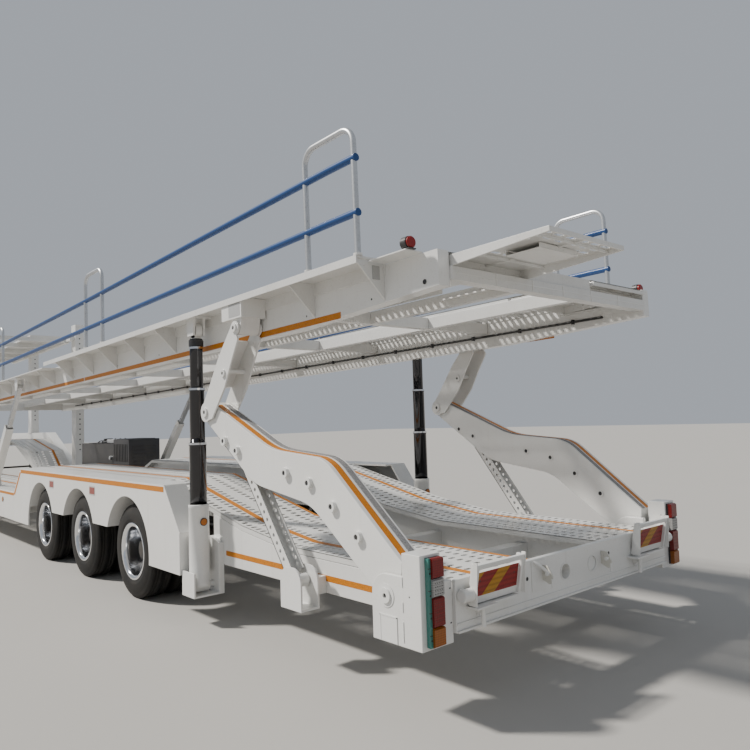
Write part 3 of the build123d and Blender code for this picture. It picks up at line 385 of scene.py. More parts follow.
def punched(shape, put, us, half, hole, depth, ys):
    """Holed side plates of a bar, one at each y."""
    for y in ys:
        plate = Shape()
        plate.sheet(us, [-half, half], hole, depth, lambda u, v, w, y=y: put(u, v, y + w))
        shape.add(plate.points, [tuple(reversed(face)) for face in plate.faces])


# Effects shared by the finishes


def effect(name, inputs, outputs):
    """A new node group with float or colour sockets, and its two end nodes."""
    group = bpy.data.node_groups.new(name, "ShaderNodeTree")
    for label, kind, default in inputs:
        socket = group.interface.new_socket(name=label, in_out="INPUT", socket_type=kind)
        socket.default_value = default
    for label, kind in outputs:
        group.interface.new_socket(name=label, in_out="OUTPUT", socket_type=kind)
    return group, group.nodes.new("NodeGroupInput"), group.nodes.new("NodeGroupOutput")


def node(tree, kind, links=None, **values):
    """Adds a node, sets its properties and inputs, and links what is given."""
    made = tree.nodes.new("ShaderNode" + kind)
    for key, value in values.items():
        setattr(made, key, value)
    for key, value in (links or {}).items():
        if isinstance(value, bpy.types.NodeSocket):
            tree.links.new(value, made.inputs[key])
        else:
            made.inputs[key].default_value = value
    return made


def road_dust():
    """Soft patches of dust with fine specks: a mask from 0 to 1."""
    if "Road dust" in bpy.data.node_groups:
        return bpy.data.node_groups["Road dust"]
    group, start, end = effect(
        "Road dust", [("Scale", "NodeSocketFloat", 3.0), ("Amount", "NodeSocketFloat", 0.5)],
        [("Mask", "NodeSocketFloat")])
    where = node(group, "TexCoord").outputs["Object"]
    wide = node(group, "TexNoise", {"Vector": where, "Scale": start.outputs["Scale"], "Detail": 6.0,
                                    "Roughness": 0.62})
    specks = node(group, "TexNoise", {"Vector": where, "Scale": 90.0, "Detail": 2.0})
    patches = node(group, "MapRange", {"Value": wide.outputs["Fac"], "From Min": 0.42, "From Max": 0.72})
    points = node(group, "MapRange", {"Value": specks.outputs["Fac"], "From Min": 0.6, "From Max": 0.72})
    both = node(group, "Math", {0: patches.outputs[0], 1: points.outputs[0]}, operation="ADD")
    mask = node(group, "Math", {0: both.outputs[0], 1: start.outputs["Amount"]}, operation="MULTIPLY",
                use_clamp=True)
    group.links.new(mask.outputs[0], end.inputs["Mask"])
    return group


def rain_streaks():
    """Faint vertical runs of dirt: a mask from 0 to 1."""
    if "Rain streaks" in bpy.data.node_groups:
        return bpy.data.node_groups["Rain streaks"]
    group, start, end = effect("Rain streaks", [("Amount", "NodeSocketFloat", 0.4)],
                               [("Mask", "NodeSocketFloat")])
    where = node(group, "TexCoord").outputs["Object"]
    long = node(group, "Mapping", {"Vector": where, "Scale": (22.0, 22.0, 1.1)})
    runs = node(group, "TexNoise", {"Vector": long.outputs[0], "Scale": 1.0, "Detail": 5.0})
    thin = node(group, "MapRange", {"Value": runs.outputs["Fac"], "From Min": 0.56, "From Max": 0.8})
    mask = node(group, "Math", {0: thin.outputs[0], 1: start.outputs["Amount"]}, operation="MULTIPLY",
                use_clamp=True)
    group.links.new(mask.outputs[0], end.inputs["Mask"])
    return group


def surface_grain():
    """Fine unevenness of a sprayed, rolled or cast surface: a height."""
    if "Surface grain" in bpy.data.node_groups:
        return bpy.data.node_groups["Surface grain"]
    group, start, end = effect(
        "Surface grain", [("Scale", "NodeSocketFloat", 120.0), ("Coarse", "NodeSocketFloat", 0.3)],
        [("Height", "NodeSocketFloat")])
    where = node(group, "TexCoord").outputs["Object"]
    fine = node(group, "TexNoise", {"Vector": where, "Scale": start.outputs["Scale"], "Detail": 3.0})
    broad = node(group, "TexNoise", {"Vector": where, "Scale": 6.0, "Detail": 2.0})
    part = node(group, "Math", {0: broad.outputs["Fac"], 1: start.outputs["Coarse"]}, operation="MULTIPLY")
    total = node(group, "Math", {0: fine.outputs["Fac"], 1: part.outputs[0]}, operation="ADD")
    group.links.new(total.outputs[0], end.inputs["Height"])
    return group


def use(tree, group, **values):
    """Places a shared effect in a material with its own values."""
    made = tree.nodes.new("ShaderNodeGroup")
    made.node_tree = group
    for key, value in values.items():
        made.inputs[key].default_value = value
    return made


def finish(name, colour, roughness, metallic=0.0, dirt=(0.20, 0.17, 0.13), dust=0.3, dust_scale=2.5, streaks=0.0,
           grain=120.0, bump=0.06, coat=0.0, spread=0.18, pattern=None, specular=0.5):
    """A worn surface: base colour with dust and streaks over it, varied roughness and a fine bump."""
    if name in bpy.data.materials:
        return bpy.data.materials[name]
    material = bpy.data.materials.new(name)
    material.use_nodes = True
    tree = material.node_tree
    shader = tree.nodes["Principled BSDF"]
    shader.inputs["Metallic"].default_value = metallic
    shader.inputs["Coat Weight"].default_value = coat
    shader.inputs["Coat Roughness"].default_value = 0.12
    shader.inputs["Specular IOR Level"].default_value = specular
    base = node(tree, "RGB")
    base.outputs[0].default_value = (*colour, 1.0)
    shown = base.outputs[0]
    height_from = None
    if pattern:
        shown, height_from = pattern(tree, shown)
    mask = use(tree, road_dust(), Scale=dust_scale, Amount=dust).outputs["Mask"]
    if streaks:
        runs = use(tree, rain_streaks(), Amount=streaks).outputs["Mask"]
        mask = node(tree, "Math", {0: mask, 1: runs}, operation="MAXIMUM").outputs[0]
    mixed = node(tree, "Mix", {"Factor": mask}, data_type="RGBA")
    tree.links.new(shown, mixed.inputs[6])
    mixed.inputs[7].default_value = (*dirt, 1.0)
    tree.links.new(mixed.outputs[2], shader.inputs["Base Color"])
    rough = node(tree, "MapRange", {"Value": mask, "To Min": roughness, "To Max": min(1.0, roughness + spread)})
    tree.links.new(rough.outputs[0], shader.inputs["Roughness"])
    height = use(tree, surface_grain(), Scale=grain).outputs["Height"]
    if height_from is not None:
        height = node(tree, "Math", {0: height_from, 1: height, 2: 0.15}, operation="MULTIPLY_ADD").outputs[0]
    lift = node(tree, "Bump", {"Height": height, "Strength": bump, "Distance": 0.004})
    tree.links.new(lift.outputs[0], shader.inputs["Normal"])
    return material


def white_paint():
    colour = bpy.context.scene.transporter_paint.body_colour
    return finish("White paint", colour, 0.28, dust=0.14, dust_scale=1.6, streaks=0.2, grain=160.0, bump=0.03,
                  coat=0.4, dirt=(0.42, 0.38, 0.31))


def deck_paint():
    colour = bpy.context.scene.transporter_paint.body_colour
    return finish("Deck paint", [c * 0.94 for c in colour], 0.36, dust=0.24, dust_scale=2.4, streaks=0.1,
                  grain=200.0, bump=0.05, coat=0.25, dirt=(0.36, 0.33, 0.28))


def stripe_tape():
    colour = bpy.context.scene.transporter_paint.stripe_colour

    def cells(tree, base):
        where = node(tree, "TexCoord").outputs["Object"]
        comb = node(tree, "TexVoronoi", {"Vector": where, "Scale": 130.0}, feature="DISTANCE_TO_EDGE")
        line = node(tree, "MapRange", {"Value": comb.outputs["Distance"], "From Min": 0.0, "From Max": 0.12})
        darker = node(tree, "Mix", {"Factor": line.outputs[0]}, data_type="RGBA")
        darker.inputs[6].default_value = (*[c * 0.55 for c in colour], 1.0)
        tree.links.new(base, darker.inputs[7])
        return darker.outputs[2], line.outputs[0]

    return finish("Orange stripe", colour, 0.45, dust=0.12, coat=0.0, pattern=cells, bump=0.12, specular=0.3,
                  dirt=(0.22, 0.13, 0.05))


def black_rubber():
    return finish("Tyre rubber", (0.013, 0.0125, 0.012), 0.7, dust=0.35, dust_scale=5.0, grain=260.0, bump=0.18,
                  dirt=(0.06, 0.052, 0.042), specular=0.3)


def hose_rubber():
    return finish("Hose rubber", (0.012, 0.012, 0.013), 0.5, dust=0.25, grain=400.0, bump=0.15,
                  dirt=(0.08, 0.07, 0.06))


def polished_alloy():
    return finish("Polished alloy", (0.80, 0.81, 0.83), 0.13, 1.0, dust=0.16, dust_scale=4.0, grain=60.0,
                  bump=0.03, dirt=(0.30, 0.27, 0.24), spread=0.35)


def rod_painted_dark_reflection():
    # The near-black base colour is painted reflection: the polished stages are darkened as if they mirrored dark
    # surroundings, which leaves only thin highlights.
    return finish("Polished rod, painted dark reflection", (0.06, 0.06, 0.064), 0.06, 1.0, dust=0.16, dust_scale=7.0, grain=40.0,
                  bump=0.015, dirt=(0.04, 0.035, 0.03), spread=0.3)


def bright_ring():
    return finish("Bright ring", (0.72, 0.72, 0.73), 0.16, 1.0, dust=0.1, grain=60.0, bump=0.02, spread=0.2)


def zinc_steel():
    def spangle(tree, base):
        where = node(tree, "TexCoord").outputs["Object"]
        flakes = node(tree, "TexVoronoi", {"Vector": where, "Scale": 70.0})
        tone = node(tree, "MapRange", {"Value": flakes.outputs["Distance"], "To Min": 0.75, "To Max": 1.1})
        shade = node(tree, "Mix", {"Factor": tone.outputs[0]}, data_type="RGBA")
        shade.inputs[6].default_value = (0.33, 0.34, 0.35, 1.0)
        tree.links.new(base, shade.inputs[7])
        return shade.outputs[2], flakes.outputs["Distance"]

    return finish("Zinc steel", (0.62, 0.63, 0.64), 0.36, 0.85, dust=0.22, pattern=spangle, bump=0.05,
                  dirt=(0.2, 0.18, 0.15))


def black_steel():
    return finish("Black running gear", (0.02, 0.02, 0.021), 0.5, dust=0.55, dust_scale=3.5, grain=80.0, bump=0.12,
                  dirt=(0.13, 0.11, 0.085))


def rope_blue():
    colour = bpy.context.scene.transporter_paint.rope_colour
    return finish("Blue rail sleeve", colour, 0.42, dust=0.12, dust_scale=6.0, grain=90.0, bump=0.04, coat=0.05,
                  dirt=(0.02, 0.04, 0.09), specular=0.35)


def lens(name, colour, count=95.0):
    """Moulded lamp lens with small prisms."""
    def prisms(tree, base):
        where = node(tree, "TexCoord").outputs["Object"]
        grid = node(tree, "TexVoronoi", {"Vector": where, "Scale": count, "Randomness": 0.0})
        tone = node(tree, "MapRange", {"Value": grid.outputs["Distance"], "From Max": 0.7, "To Min": 0.0,
                                       "To Max": 1.0})
        shade = node(tree, "Mix", {"Factor": tone.outputs[0]}, data_type="RGBA")
        shade.inputs[7].default_value = (*[c * 0.35 for c in colour], 1.0)
        tree.links.new(base, shade.inputs[6])
        return shade.outputs[2], tone.outputs[0]

    return finish(name, colour, 0.3, dust=0.06, dust_scale=8.0, pattern=prisms, bump=0.25, coat=0.15,
                  dirt=(0.12, 0.07, 0.05), specular=0.35)


def green_housing():
    return finish("Lamp side strip", (0.03, 0.20, 0.17), 0.28, dust=0.15, coat=0.5, bump=0.03)


def dull_black():
    return finish("Satin black", (0.016, 0.016, 0.018), 0.42, dust=0.35, dust_scale=5.0, grain=150.0, bump=0.06,
                  dirt=(0.11, 0.1, 0.085))


def grip_grey():
    def knurl(tree, base):
        where = node(tree, "TexCoord").outputs["Object"]
        small = node(tree, "TexVoronoi", {"Vector": where, "Scale": 160.0, "Randomness": 0.4})
        tone = node(tree, "MapRange", {"Value": small.outputs["Distance"], "From Max": 0.6, "To Min": 0.0,
                                       "To Max": 1.0})
        shade = node(tree, "Mix", {"Factor": tone.outputs[0]}, data_type="RGBA")
        shade.inputs[7].default_value = (0.16, 0.16, 0.165, 1.0)
        tree.links.new(base, shade.inputs[6])
        return shade.outputs[2], tone.outputs[0]

    return finish("Grip strip", (0.46, 0.45, 0.44), 0.7, dust=0.3, pattern=knurl, bump=0.4)


def floor_pale():
    return finish("Pale floor", bpy.context.scene.transporter_stage.floor_colour, 0.85, dust=0.05, dust_scale=0.6,
                  grain=30.0, bump=0.05, dirt=(0.5, 0.48, 0.45))


# Settings


class PaintSettings(bpy.types.PropertyGroup):
    """Colours of the paint, the stripes and the rails."""

    body_colour: FloatVectorProperty(
        name="Body colour", description="Sprayed paint of the frame, decks and arms", subtype="COLOR",
        default=(0.76, 0.755, 0.73), min=0.0, max=1.0)
    stripe_colour: FloatVectorProperty(
        name="Stripe colour", description="Reflective tape along the edges", subtype="COLOR",
        default=(0.60, 0.20, 0.006), min=0.0, max=1.0)
    rope_colour: FloatVectorProperty(
        name="Rail colour", description="Sleeves of the two hand rails", subtype="COLOR",
        default=(0.010, 0.055, 0.19), min=0.0, max=1.0)


class TrackSettings(bpy.types.PropertyGroup):
    """Cut-outs of the wheel tracks."""

    slot_length: FloatProperty(name="Slot length", description="Across the track", default=0.054, min=0.01,
                               max=0.09, unit="LENGTH")
    slot_width: FloatProperty(name="Slot width", description="Along the track", default=0.027, min=0.005, max=0.05,
                              unit="LENGTH")
    slot_pitch: FloatProperty(name="Slot pitch", description="From row to row along the track", default=0.061,
                              min=0.06, max=0.5, unit="LENGTH")


class WheelSettings(bpy.types.PropertyGroup):
    """Look of the tyres and rims."""

    groove_depth: FloatProperty(name="Groove depth", description="Depth of the tread's grooves", default=0.009,
                                min=0.0, max=0.02, unit="LENGTH")
    hand_holes: IntProperty(name="Hand holes", description="Openings in the rim's disc", default=10, min=0, max=20)


class StageSettings(bpy.types.PropertyGroup):
    """Floor, light and camera."""

    floor_colour: FloatVectorProperty(name="Floor colour", description="Plain pale floor", subtype="COLOR",
                                      default=(0.40, 0.385, 0.36), min=0.0, max=1.0)
    sun_strength: FloatProperty(name="Key light", description="Strength of the main light", default=5.4, min=0.0,
                                max=20.0)
    sky_strength: FloatProperty(name="Sky light", description="Strength of the soft light all round", default=0.5,
                                min=0.0, max=5.0)
    lens_length: FloatProperty(name="Lens", description="Camera's focal length in millimetres", default=33.03,
                               min=5.0, max=300.0)


# Operators


class LowerTracks(bpy.types.Operator):
    """Slotted wheel tracks of the lower floor with their strips of tape"""

    bl_idname = "transporter.lower_tracks"
    bl_label = "Lower tracks"
    bl_options = {"REGISTER", "UNDO"}

    def execute(self, context):
        pitch = context.scene.transporter_track.slot_pitch
        xs = steps_between(0.0, NOSE_X, pitch, [x for x, _ in FLOOR])
        for side, word in SIDES:
            shape = Shape()
            put = slotted(shape, xs, TRACK_Y, floor_z)
            strips = [(0.781, 0.829)] + ([(0.351, 0.381)] if side > 0 else [])
            for strip in strips:
                shape.sheet(xs, strip, lambda i, j, u, v: None, 0.0008, lambda u, v, w: put(u, v, w + 0.001), 1)
            if side < 0:
                shape.flipped()
            shape.make("lower_track_" + word, "chassis", [deck_paint(), stripe_tape()], "lower_track_paint",
                       stands_for=("lower_tracks",))
        return {"FINISHED"}


class DeckTracks(bpy.types.Operator):
    """Slotted wheel tracks of the upper rear deck"""

    bl_idname = "transporter.deck_tracks"
    bl_label = "Deck tracks"
    bl_options = {"REGISTER", "UNDO"}

    def execute(self, context):
        pitch = context.scene.transporter_track.slot_pitch
        xs = steps_between(0.0, DECK_L - 0.07, pitch, [0.64])
        for side, word in SIDES:
            shape = Shape()
            slotted(shape, xs, (0.33, 0.969), lambda x: -0.005, skirt=0.034, bare=0.65)
            if side < 0:
                shape.flipped()
            shape.make("deck_track_" + word, "rear_deck", [deck_paint()], "deck_paint", DECK,
                       stands_for=("deck_tracks",))
        return {"FINISHED"}


class Framework(bpy.types.Operator):
    """Rails, cross members, sills, tail beam, columns, brackets and decks, with rounded edges"""

    bl_idname = "transporter.framework"
    bl_label = "Framework"
    bl_options = {"REGISTER", "UNDO"}

    def execute(self, context):
        rows = [
            ("main_rails", 0.004), ("tail_rails", 0.003), ("cross_members", 0.003), ("side_sills", 0.006),
            ("fender_panels", 0.002), ("tail_crossbeam", 0.004), ("tail_posts", 0.005), ("front_columns", 0.004),
            ("side_carriers", 0.003), ("deck_beams", 0.004), ("deck_cross", 0.002), ("deck_walkways", 0.0015),
            ("deck_brackets", 0.003), ("ramp_ends", 0.003), ("front_deck", 0.003),
        ]
        for name, bevel in rows:
            paint, slot = (deck_paint(), "deck_paint") if name in (
                "deck_cross", "deck_walkways", "front_deck") else (white_paint(), "white_paint")
            dress(name, paint, bevel)
        for name, bevel in (("axles", 0.004), ("landing_legs", 0.003), ("kingpin", 0.002)):
            dress(name, black_steel(), bevel)
        dress("deck_cable", hose_rubber(), 0.001)
        return {"FINISHED"}


class Arms(bpy.types.Operator):
    """Lifting arms and upper links with their pins, bosses, tape and grip strips"""

    bl_idname = "transporter.arms"
    bl_label = "Lifting arms"
    bl_options = {"REGISTER", "UNDO"}

    def execute(self, context):
        top = [(0.15, 0.728), (0.738, 1.207, 0.3), (1.273, 1.251, 0.7), (1.965, 1.542)]
        for side, word in SIDES:
            dress("lifting_arm_" + word, white_paint(), 0.004)
            dress("deck_link_" + word, white_paint(), 0.003)
            line = rounded([(0.05, 0.70)] + top + [(2.10, 1.45)])[1:-1]
            normal = []
            for i, p in enumerate(line):
                ahead = line[min(i + 1, len(line) - 1)] - line[max(i - 1, 0)]
                normal.append(Vector((-ahead.y, ahead.x)).normalized())
            trim = Shape()
            for y, lift, kind in (((1.152, 1.194), 0.0012, 0), ((1.096, 1.134), 0.003, 1)):
                points = []
                for p, n in zip(line, normal):
                    for d in (0.0, lift):
                        for v in y:
                            points.append((p.x + n.x * d, v, p.y + n.y * d))
                faces = []
                for i in range(len(line) - 1):
                    a, b = 4 * i, 4 * i + 4
                    faces += [(a + 2, a + 3, b + 3, b + 2), (a, a + 2, b + 2, b), (a + 1, b + 1, b + 3, a + 3)]
                trim.add(points, faces, kind)
            if side < 0:
                trim.flipped()
            trim.make("arm_trim_" + word, "arm_" + word, [stripe_tape(), grip_grey()], "white_paint")
            pins = Shape()
            rows = [(1.806, 1.300), (1.650, 1.238), (1.100, 1.117), (0.875, 1.070), (0.665, 0.955), (0.460, 0.817)]
            for x, z in rows:
                # The black disc in each ring is painted shade: it stands for the dark open end of a hollow boss
                # tube.
                pins.ring((x, 1.2375, z), 0.031, 0.015, (0.0, 0.006))
                pins.rod((x, 1.2375, z), 0.0155, (-0.002, 0.0015), finish=1)
                pins.ring((x, 1.0795, z), 0.024, 0.015, (-0.004, 0.0))
                pins.rod((x, 1.0795, z), 0.0155, (-0.001, 0.001), finish=1)
            if side < 0:
                pins.flipped()
            pins.make("arm_bosses_" + word, "arm_" + word, [white_paint(), dull_black()], "white_paint",
                      bevel=0.001)
            ends = Shape()
            for x, z, r in ((*KNUCKLE, 0.034), (*LINK_PIN, 0.03), (1.78, 1.745, 0.027)):
                ends.ring((x, 1.2402, z), r, r * 0.42, (0.0, 0.012))
                ends.rod((x, 1.2402, z), r * 0.44, (0.0, 0.006), finish=1)
                ends.ring((x, 1.0598, z), r, r * 0.42, (-0.012, 0.0))
                ends.rod((x, 1.0598, z), r * 0.44, (-0.006, 0.0), finish=1)
            if side < 0:
                ends.flipped()
            ends.make("link_bosses_" + word, "link_" + word, [white_paint(), dull_black()], "white_paint",
                      bevel=0.001)
        return {"FINISHED"}


class Props(bpy.types.Operator):
    """Perforated safety props in their clevises"""

    bl_idname = "transporter.props"
    bl_label = "Safety props"
    bl_options = {"REGISTER", "UNDO"}

    def execute(self, context):
        angle = math.radians(52)
        put = bar_frame(Vector(PROP_FOOT), Vector((math.cos(angle), math.sin(angle))))
        us = [0.06] + [0.12 + 0.055 * k for k in range(14)] + [0.9]

        def hole(i, j, u, v):
            return octagon(u, v, 0.0125, 0.0125) if 0.12 < u < 0.84 else None

        for side, word in SIDES:
            shape = Shape()
            punched(shape, put, us, 0.0375, hole, 0.006, (1.195, 1.111))
            brick(shape, put, (0.06, 0.9), (-0.0375, -0.0315), (1.105, 1.195))
            brick(shape, put, (0.894, 0.9), (-0.0375, 0.0375), (1.105, 1.195))
            shape.lathe([(0.026, 1.105), (0.039, 1.105), (0.039, 1.195), (0.026, 1.195)],
                        (PROP_FOOT[0], 0, PROP_FOOT[1]), steps=32, soft=False, closed=True)
            if side < 0:
                shape.flipped()
            shape.make("safety_prop_" + word, "prop_" + word, [white_paint()], "white_paint",
                       stands_for=("prop_" + word,))
        return {"FINISHED"}


class Cylinders(bpy.types.Operator):
    """Lift cylinders: barrel, gland, three polished stages and the amber reflector"""

    bl_idname = "transporter.cylinders"
    bl_label = "Lift cylinders"
    bl_options = {"REGISTER", "UNDO"}

    def execute(self, context):
        x, y0 = CYLINDER
        stages = [(0.061, 0.582, 1.282), (0.054, 1.022, 1.677), (0.047, 1.417, 2.04)]
        for side, word in SIDES:
            y = y0 * side
            barrel = Shape()
            barrel.lathe([(0.0621, 0.55), (0.0621, 0.842), (0.066, 0.842), (0.074, 0.838), (0.074, 0.815),
                          (0.0725, 0.813), (0.0725, 0.30), (0.074, 0.298), (0.074, 0.265), (0.07, 0.262),
                          (0.0001, 0.262)], (x, y, 0), "z", 0, 56)
            barrel.ring((x, y, 0), 0.0655, 0.0616, (0.834, 0.8425), "z", 1, 48)
            barrel.lathe([(0.027, -0.06), (0.043, -0.06), (0.043, 0.06), (0.027, 0.06)], (x, y, 0.262), "y", 0, 32,
                         False, True)
            barrel.make("barrel_" + word, "barrel_" + word, [white_paint(), dull_black()], "white_paint",
                        bevel=0.001, stands_for=("barrel_" + word,))
            marker = Shape()
            marker.rod((x - 0.0725, y, 0.72), 0.024, (-0.007, 0.002), "x", 0, 28)
            marker.ring((x - 0.0725, y, 0.72), 0.028, 0.0235, (-0.006, 0.002), "x", 1)
            marker.make("amber_marker_" + word, "barrel_" + word,
                        [lens("Amber lens", (0.75, 0.22, 0.01), 160.0), dull_black()], "lamp_plastic", bevel=0.001)
            for i, (r, low, top) in enumerate(stages):
                rod = Shape()
                lip = 0.0028 * (i < 2)
                bore = stages[i + 1][0] + 0.0007 if i < 2 else 0.0001
                rod.lathe([(bore, low), (r, low), (r, top - 0.022), (r + lip, top - 0.02), (r + lip, top - 0.003),
                           (r - 0.003, top), (bore, top)], (x, y, 0), "z", 0, 56, closed=i < 2)
                body = "stage_%d_%s" % (i + 1, word)
                if i < 2:
                    rod.ring((x, y, 0), r + 0.003, bore, (top - 0.014, top + 0.001), "z", 3, 48)
                else:
                    rod.ring((x, y, 0), r + 0.004, r - 0.002, (1.965, 1.98), "z", 3, 48)
                    rod.ring((x, y, 0), r + 0.006, r - 0.002, (1.985, 2.03), "z", 1, 48)
                    rod.ring((x, y, 2.1), 0.055, 0.0372, (-0.024, 0.024), "y", 2, 40)
                    rod.box((x - 0.03, x + 0.03), (y - 0.024, y + 0.024), (2.03, 2.064), 2)
                    rod.rod((x + 0.042, y, 2.0), 0.011, (0.0, 0.022), "x", 1, 16)
                rod.make(body, body, [rod_painted_dark_reflection(), dull_black(), white_paint(), bright_ring()], "polished_rod",
                         stands_for=(body,))
        return {"FINISHED"}


class Braces(bpy.types.Operator):
    """Middle braces: a perforated bar that slides in its sleeve"""

    bl_idname = "transporter.braces"
    bl_label = "Middle braces"
    bl_options = {"REGISTER", "UNDO"}

    def execute(self, context):
        foot, head = Vector(BRACE_FOOT), Vector(BRACE_PIN)
        put = bar_frame(foot, (head - foot).normalized())
        length = (head - foot).length
        us = [0.65] + [1.04 + 0.05 * k for k in range(int((length - 1.12) / 0.05))] + [length]

        def hole(i, j, u, v):
            return octagon(u, v, 0.011, 0.011) if 0 < i < len(us) - 2 else None

        for side, word in SIDES:
            dress("brace_sleeve_" + word, white_paint(), 0.003)
            shape = Shape()
            punched(shape, put, us, 0.025, hole, 0.004, (1.195, 1.149))
            for v in ((-0.025, -0.021), (0.021, 0.025)):
                brick(shape, put, (0.65, length), v, (1.145, 1.195))
            shape.lathe([(0.0205, 1.145), (0.038, 1.145), (0.038, 1.195), (0.0205, 1.195)],
                        (head.x, 0, head.y), steps=28, soft=False, closed=True)
            if side < 0:
                shape.flipped()
            shape.make("brace_bar_" + word, "bar_" + word, [zinc_steel()], "brace_galvanised",
                       stands_for=("brace_bar_" + word,))
        return {"FINISHED"}


class HandRails(bpy.types.Operator):
    """Bent stanchions and the two blue sleeved rails on each side of the deck"""

    bl_idname = "transporter.hand_rails"
    bl_label = "Hand rails"
    bl_options = {"REGISTER", "UNDO"}

    def execute(self, context):
        y = HALF_WIDTH - 0.023
        rows = [(0.39, 0.82, 0.544, 0.253), (3.99, 4.42, 0.484, 0.216), (7.5, 7.93, 0.447, 0.19),
                (11.1, 11.53, 0.43, 0.18)]
        posts, rails = Shape(), Shape()
        for rear, front, _, _ in rows:
            foot = 0.027 if front < 5.7 else -0.025
            top = foot + 0.69
            path = rounded([(rear, foot), (rear, top, 0.09), (front, top, 0.09), (front, foot)])
            posts.sweep([(p.x, y, p.y) for p in path], 0.017, 0, 16)
            for x in (rear, front):
                posts.ring((x, y, foot), 0.024, 0.0165, (0.0, 0.012), "z", 1, 20)
        for level in (2, 3):
            path = [(rows[0][0] - 0.02, y, rows[0][level])]
            path += [((r[0] + r[1]) / 2, y, r[level]) for r in rows]
            path.append((rows[-1][1] + 0.02, y, rows[-1][level] - 0.002))
            fine = []
            for a, b in zip(path, path[1:]):
                fine += [tuple(Vector(a).lerp(Vector(b), k / 8)) for k in range(8)]
            rails.sweep(fine + [path[-1]], 0.0205, 0, 18)
        posts.mirror().make("stanchions", "rear_deck", [zinc_steel(), white_paint()], "deck_paint", DECK,
                            stands_for=("deck_handrails",))
        rails.mirror().make("rail_sleeves", "rear_deck", [rope_blue()], "rail_blue", DECK,
                            stands_for=("deck_handrails",))
        return {"FINISHED"}


class Wheels(bpy.types.Operator):
    """Twin wheels: grooved tyres and deep polished rims"""

    bl_idname = "transporter.wheels"
    bl_label = "Wheels"
    bl_options = {"REGISTER", "UNDO"}

    def execute(self, context):
        look = context.scene.transporter_wheel
        half = TYRE_W / 2
        deep = look.groove_depth
        side = [(0.2075, 0.0955), (0.236, 0.0958), (0.243, 0.1005), (0.262, half - 0.0008), (0.266, half),
                (0.272, half - 0.0012), (0.300, half), (0.304, half - 0.0014), (0.330, half - 0.003),
                (0.334, half - 0.0055), (0.352, half - 0.009), (0.362, half - 0.0125), (0.372, half - 0.017),
                (0.3795, half - 0.0245)]
        crown = []
        for outer, inner in ((0.078, 0.056), (0.048, 0.0335), (0.0255, 0.0)):
            crown += [(0.3828, outer), (0.3835, inner)]
            if inner:
                crown += [(0.3835 - deep, inner - 0.0012), (0.3835 - deep, inner - 0.0068)]
        ring = side + crown
        profile = ring + [(r, -y) for r, y in reversed(ring)]
        for n, x in enumerate(AXLES_X):
            for sign, word in SIDES:
                body = "wheel_%d_%s" % (n + 1, word)
                tyres, rims = Shape(), Shape()
                for y in TWIN_Y:
                    tyres.lathe([(r, y + o) for r, o in reversed(profile)], (x, 0, TYRE_R), "y", 0, 96, True, True)
                for y, way in ((TWIN_Y[0], 1), (TWIN_Y[1], -1)):
                    lip = [(0.197, y - way * 0.1045), (0.233, y - way * 0.1045), (0.235, y - way * 0.1),
                           (0.234, y - way * 0.0957), (0.2068, y - way * 0.0957)]
                    section = lip + [(0.2068, y + way * 0.0955), (0.234, y + way * 0.0957),
                                     (0.235, y + way * 0.1015), (0.2325, y + way * 0.1044),
                                     (0.222, y + way * 0.1035), (0.2045, y + way * 0.098),
                                     (0.1995, y + way * 0.088), (0.1975, y + way * 0.05), (0.1985, y - way * 0.02),
                                     (0.1965, y - way * 0.085)]
                    if way < 0:
                        section.reverse()
                    rims.lathe(section, (x, 0, TYRE_R), "y", 0, 80, True, True)
                    self.disc(rims, x, y - way * 0.0995, way, look.hand_holes)
                self.hub(rims, x)
                if sign < 0:
                    tyres.flipped()
                    rims.flipped()
                tyres.make("tyre_pair_%d_%s" % (n + 1, word), body, [black_rubber()], "tyre_rubber",
                           stands_for=("tyres_%d_%s" % (n + 1, word),))
                rims.make("rim_pair_%d_%s" % (n + 1, word), body, [polished_alloy(), black_steel(), zinc_steel()],
                          "rim_aluminium", stands_for=("rims_%d_%s" % (n + 1, word),))
        return {"FINISHED"}

    def disc(self, rims, x, y, way, holes):
        """Flat disc with oval hand holes."""
        count = max(6, holes)
        us = [2 * math.pi * k / (2 * count) for k in range(2 * count + 1)]

        def put(u, v, w):
            return (x + v * math.cos(u), y + way * (w + 0.004), TYRE_R + v * math.sin(u))

        def hole(i, j, u, v):
            if i % 2 or j != 1 or not holes:
                return None
            reach = math.pi / (2 * count) * 0.8
            return octagon(u, v, reach, 0.019)

        part = Shape()
        part.sheet(us, [0.098, 0.138, 0.182, 0.197], hole, 0.009, put)
        if way > 0:
            part.faces = [tuple(reversed(f)) for f in part.faces]
        rims.add(part.points, part.faces, 0, True)

    def hub(self, rims, x):
        """Hub drum, cap and nuts."""
        rims.lathe([(0.0425, 0.722), (0.098, 0.722), (0.105, 0.732), (0.105, 0.97), (0.103, 1.0), (0.096, 1.03),
                    (0.085, 1.045), (0.084, 1.092), (0.08, 1.112), (0.062, 1.1165), (0.0001, 1.1165)],
                   (x, 0, TYRE_R), "y", 1, 48)
        for k in range(10):
            a = 2 * math.pi * k / 10 + 0.2
            cx, cz = x + 0.0925 * math.cos(a), TYRE_R + 0.0925 * math.sin(a)
            rims.lathe([(0.0001, 1.055), (0.0105, 1.055), (0.0125, 1.052), (0.0125, 1.02), (0.0001, 1.02)],
                       (cx, 0, cz), "y", 2, 6, False)


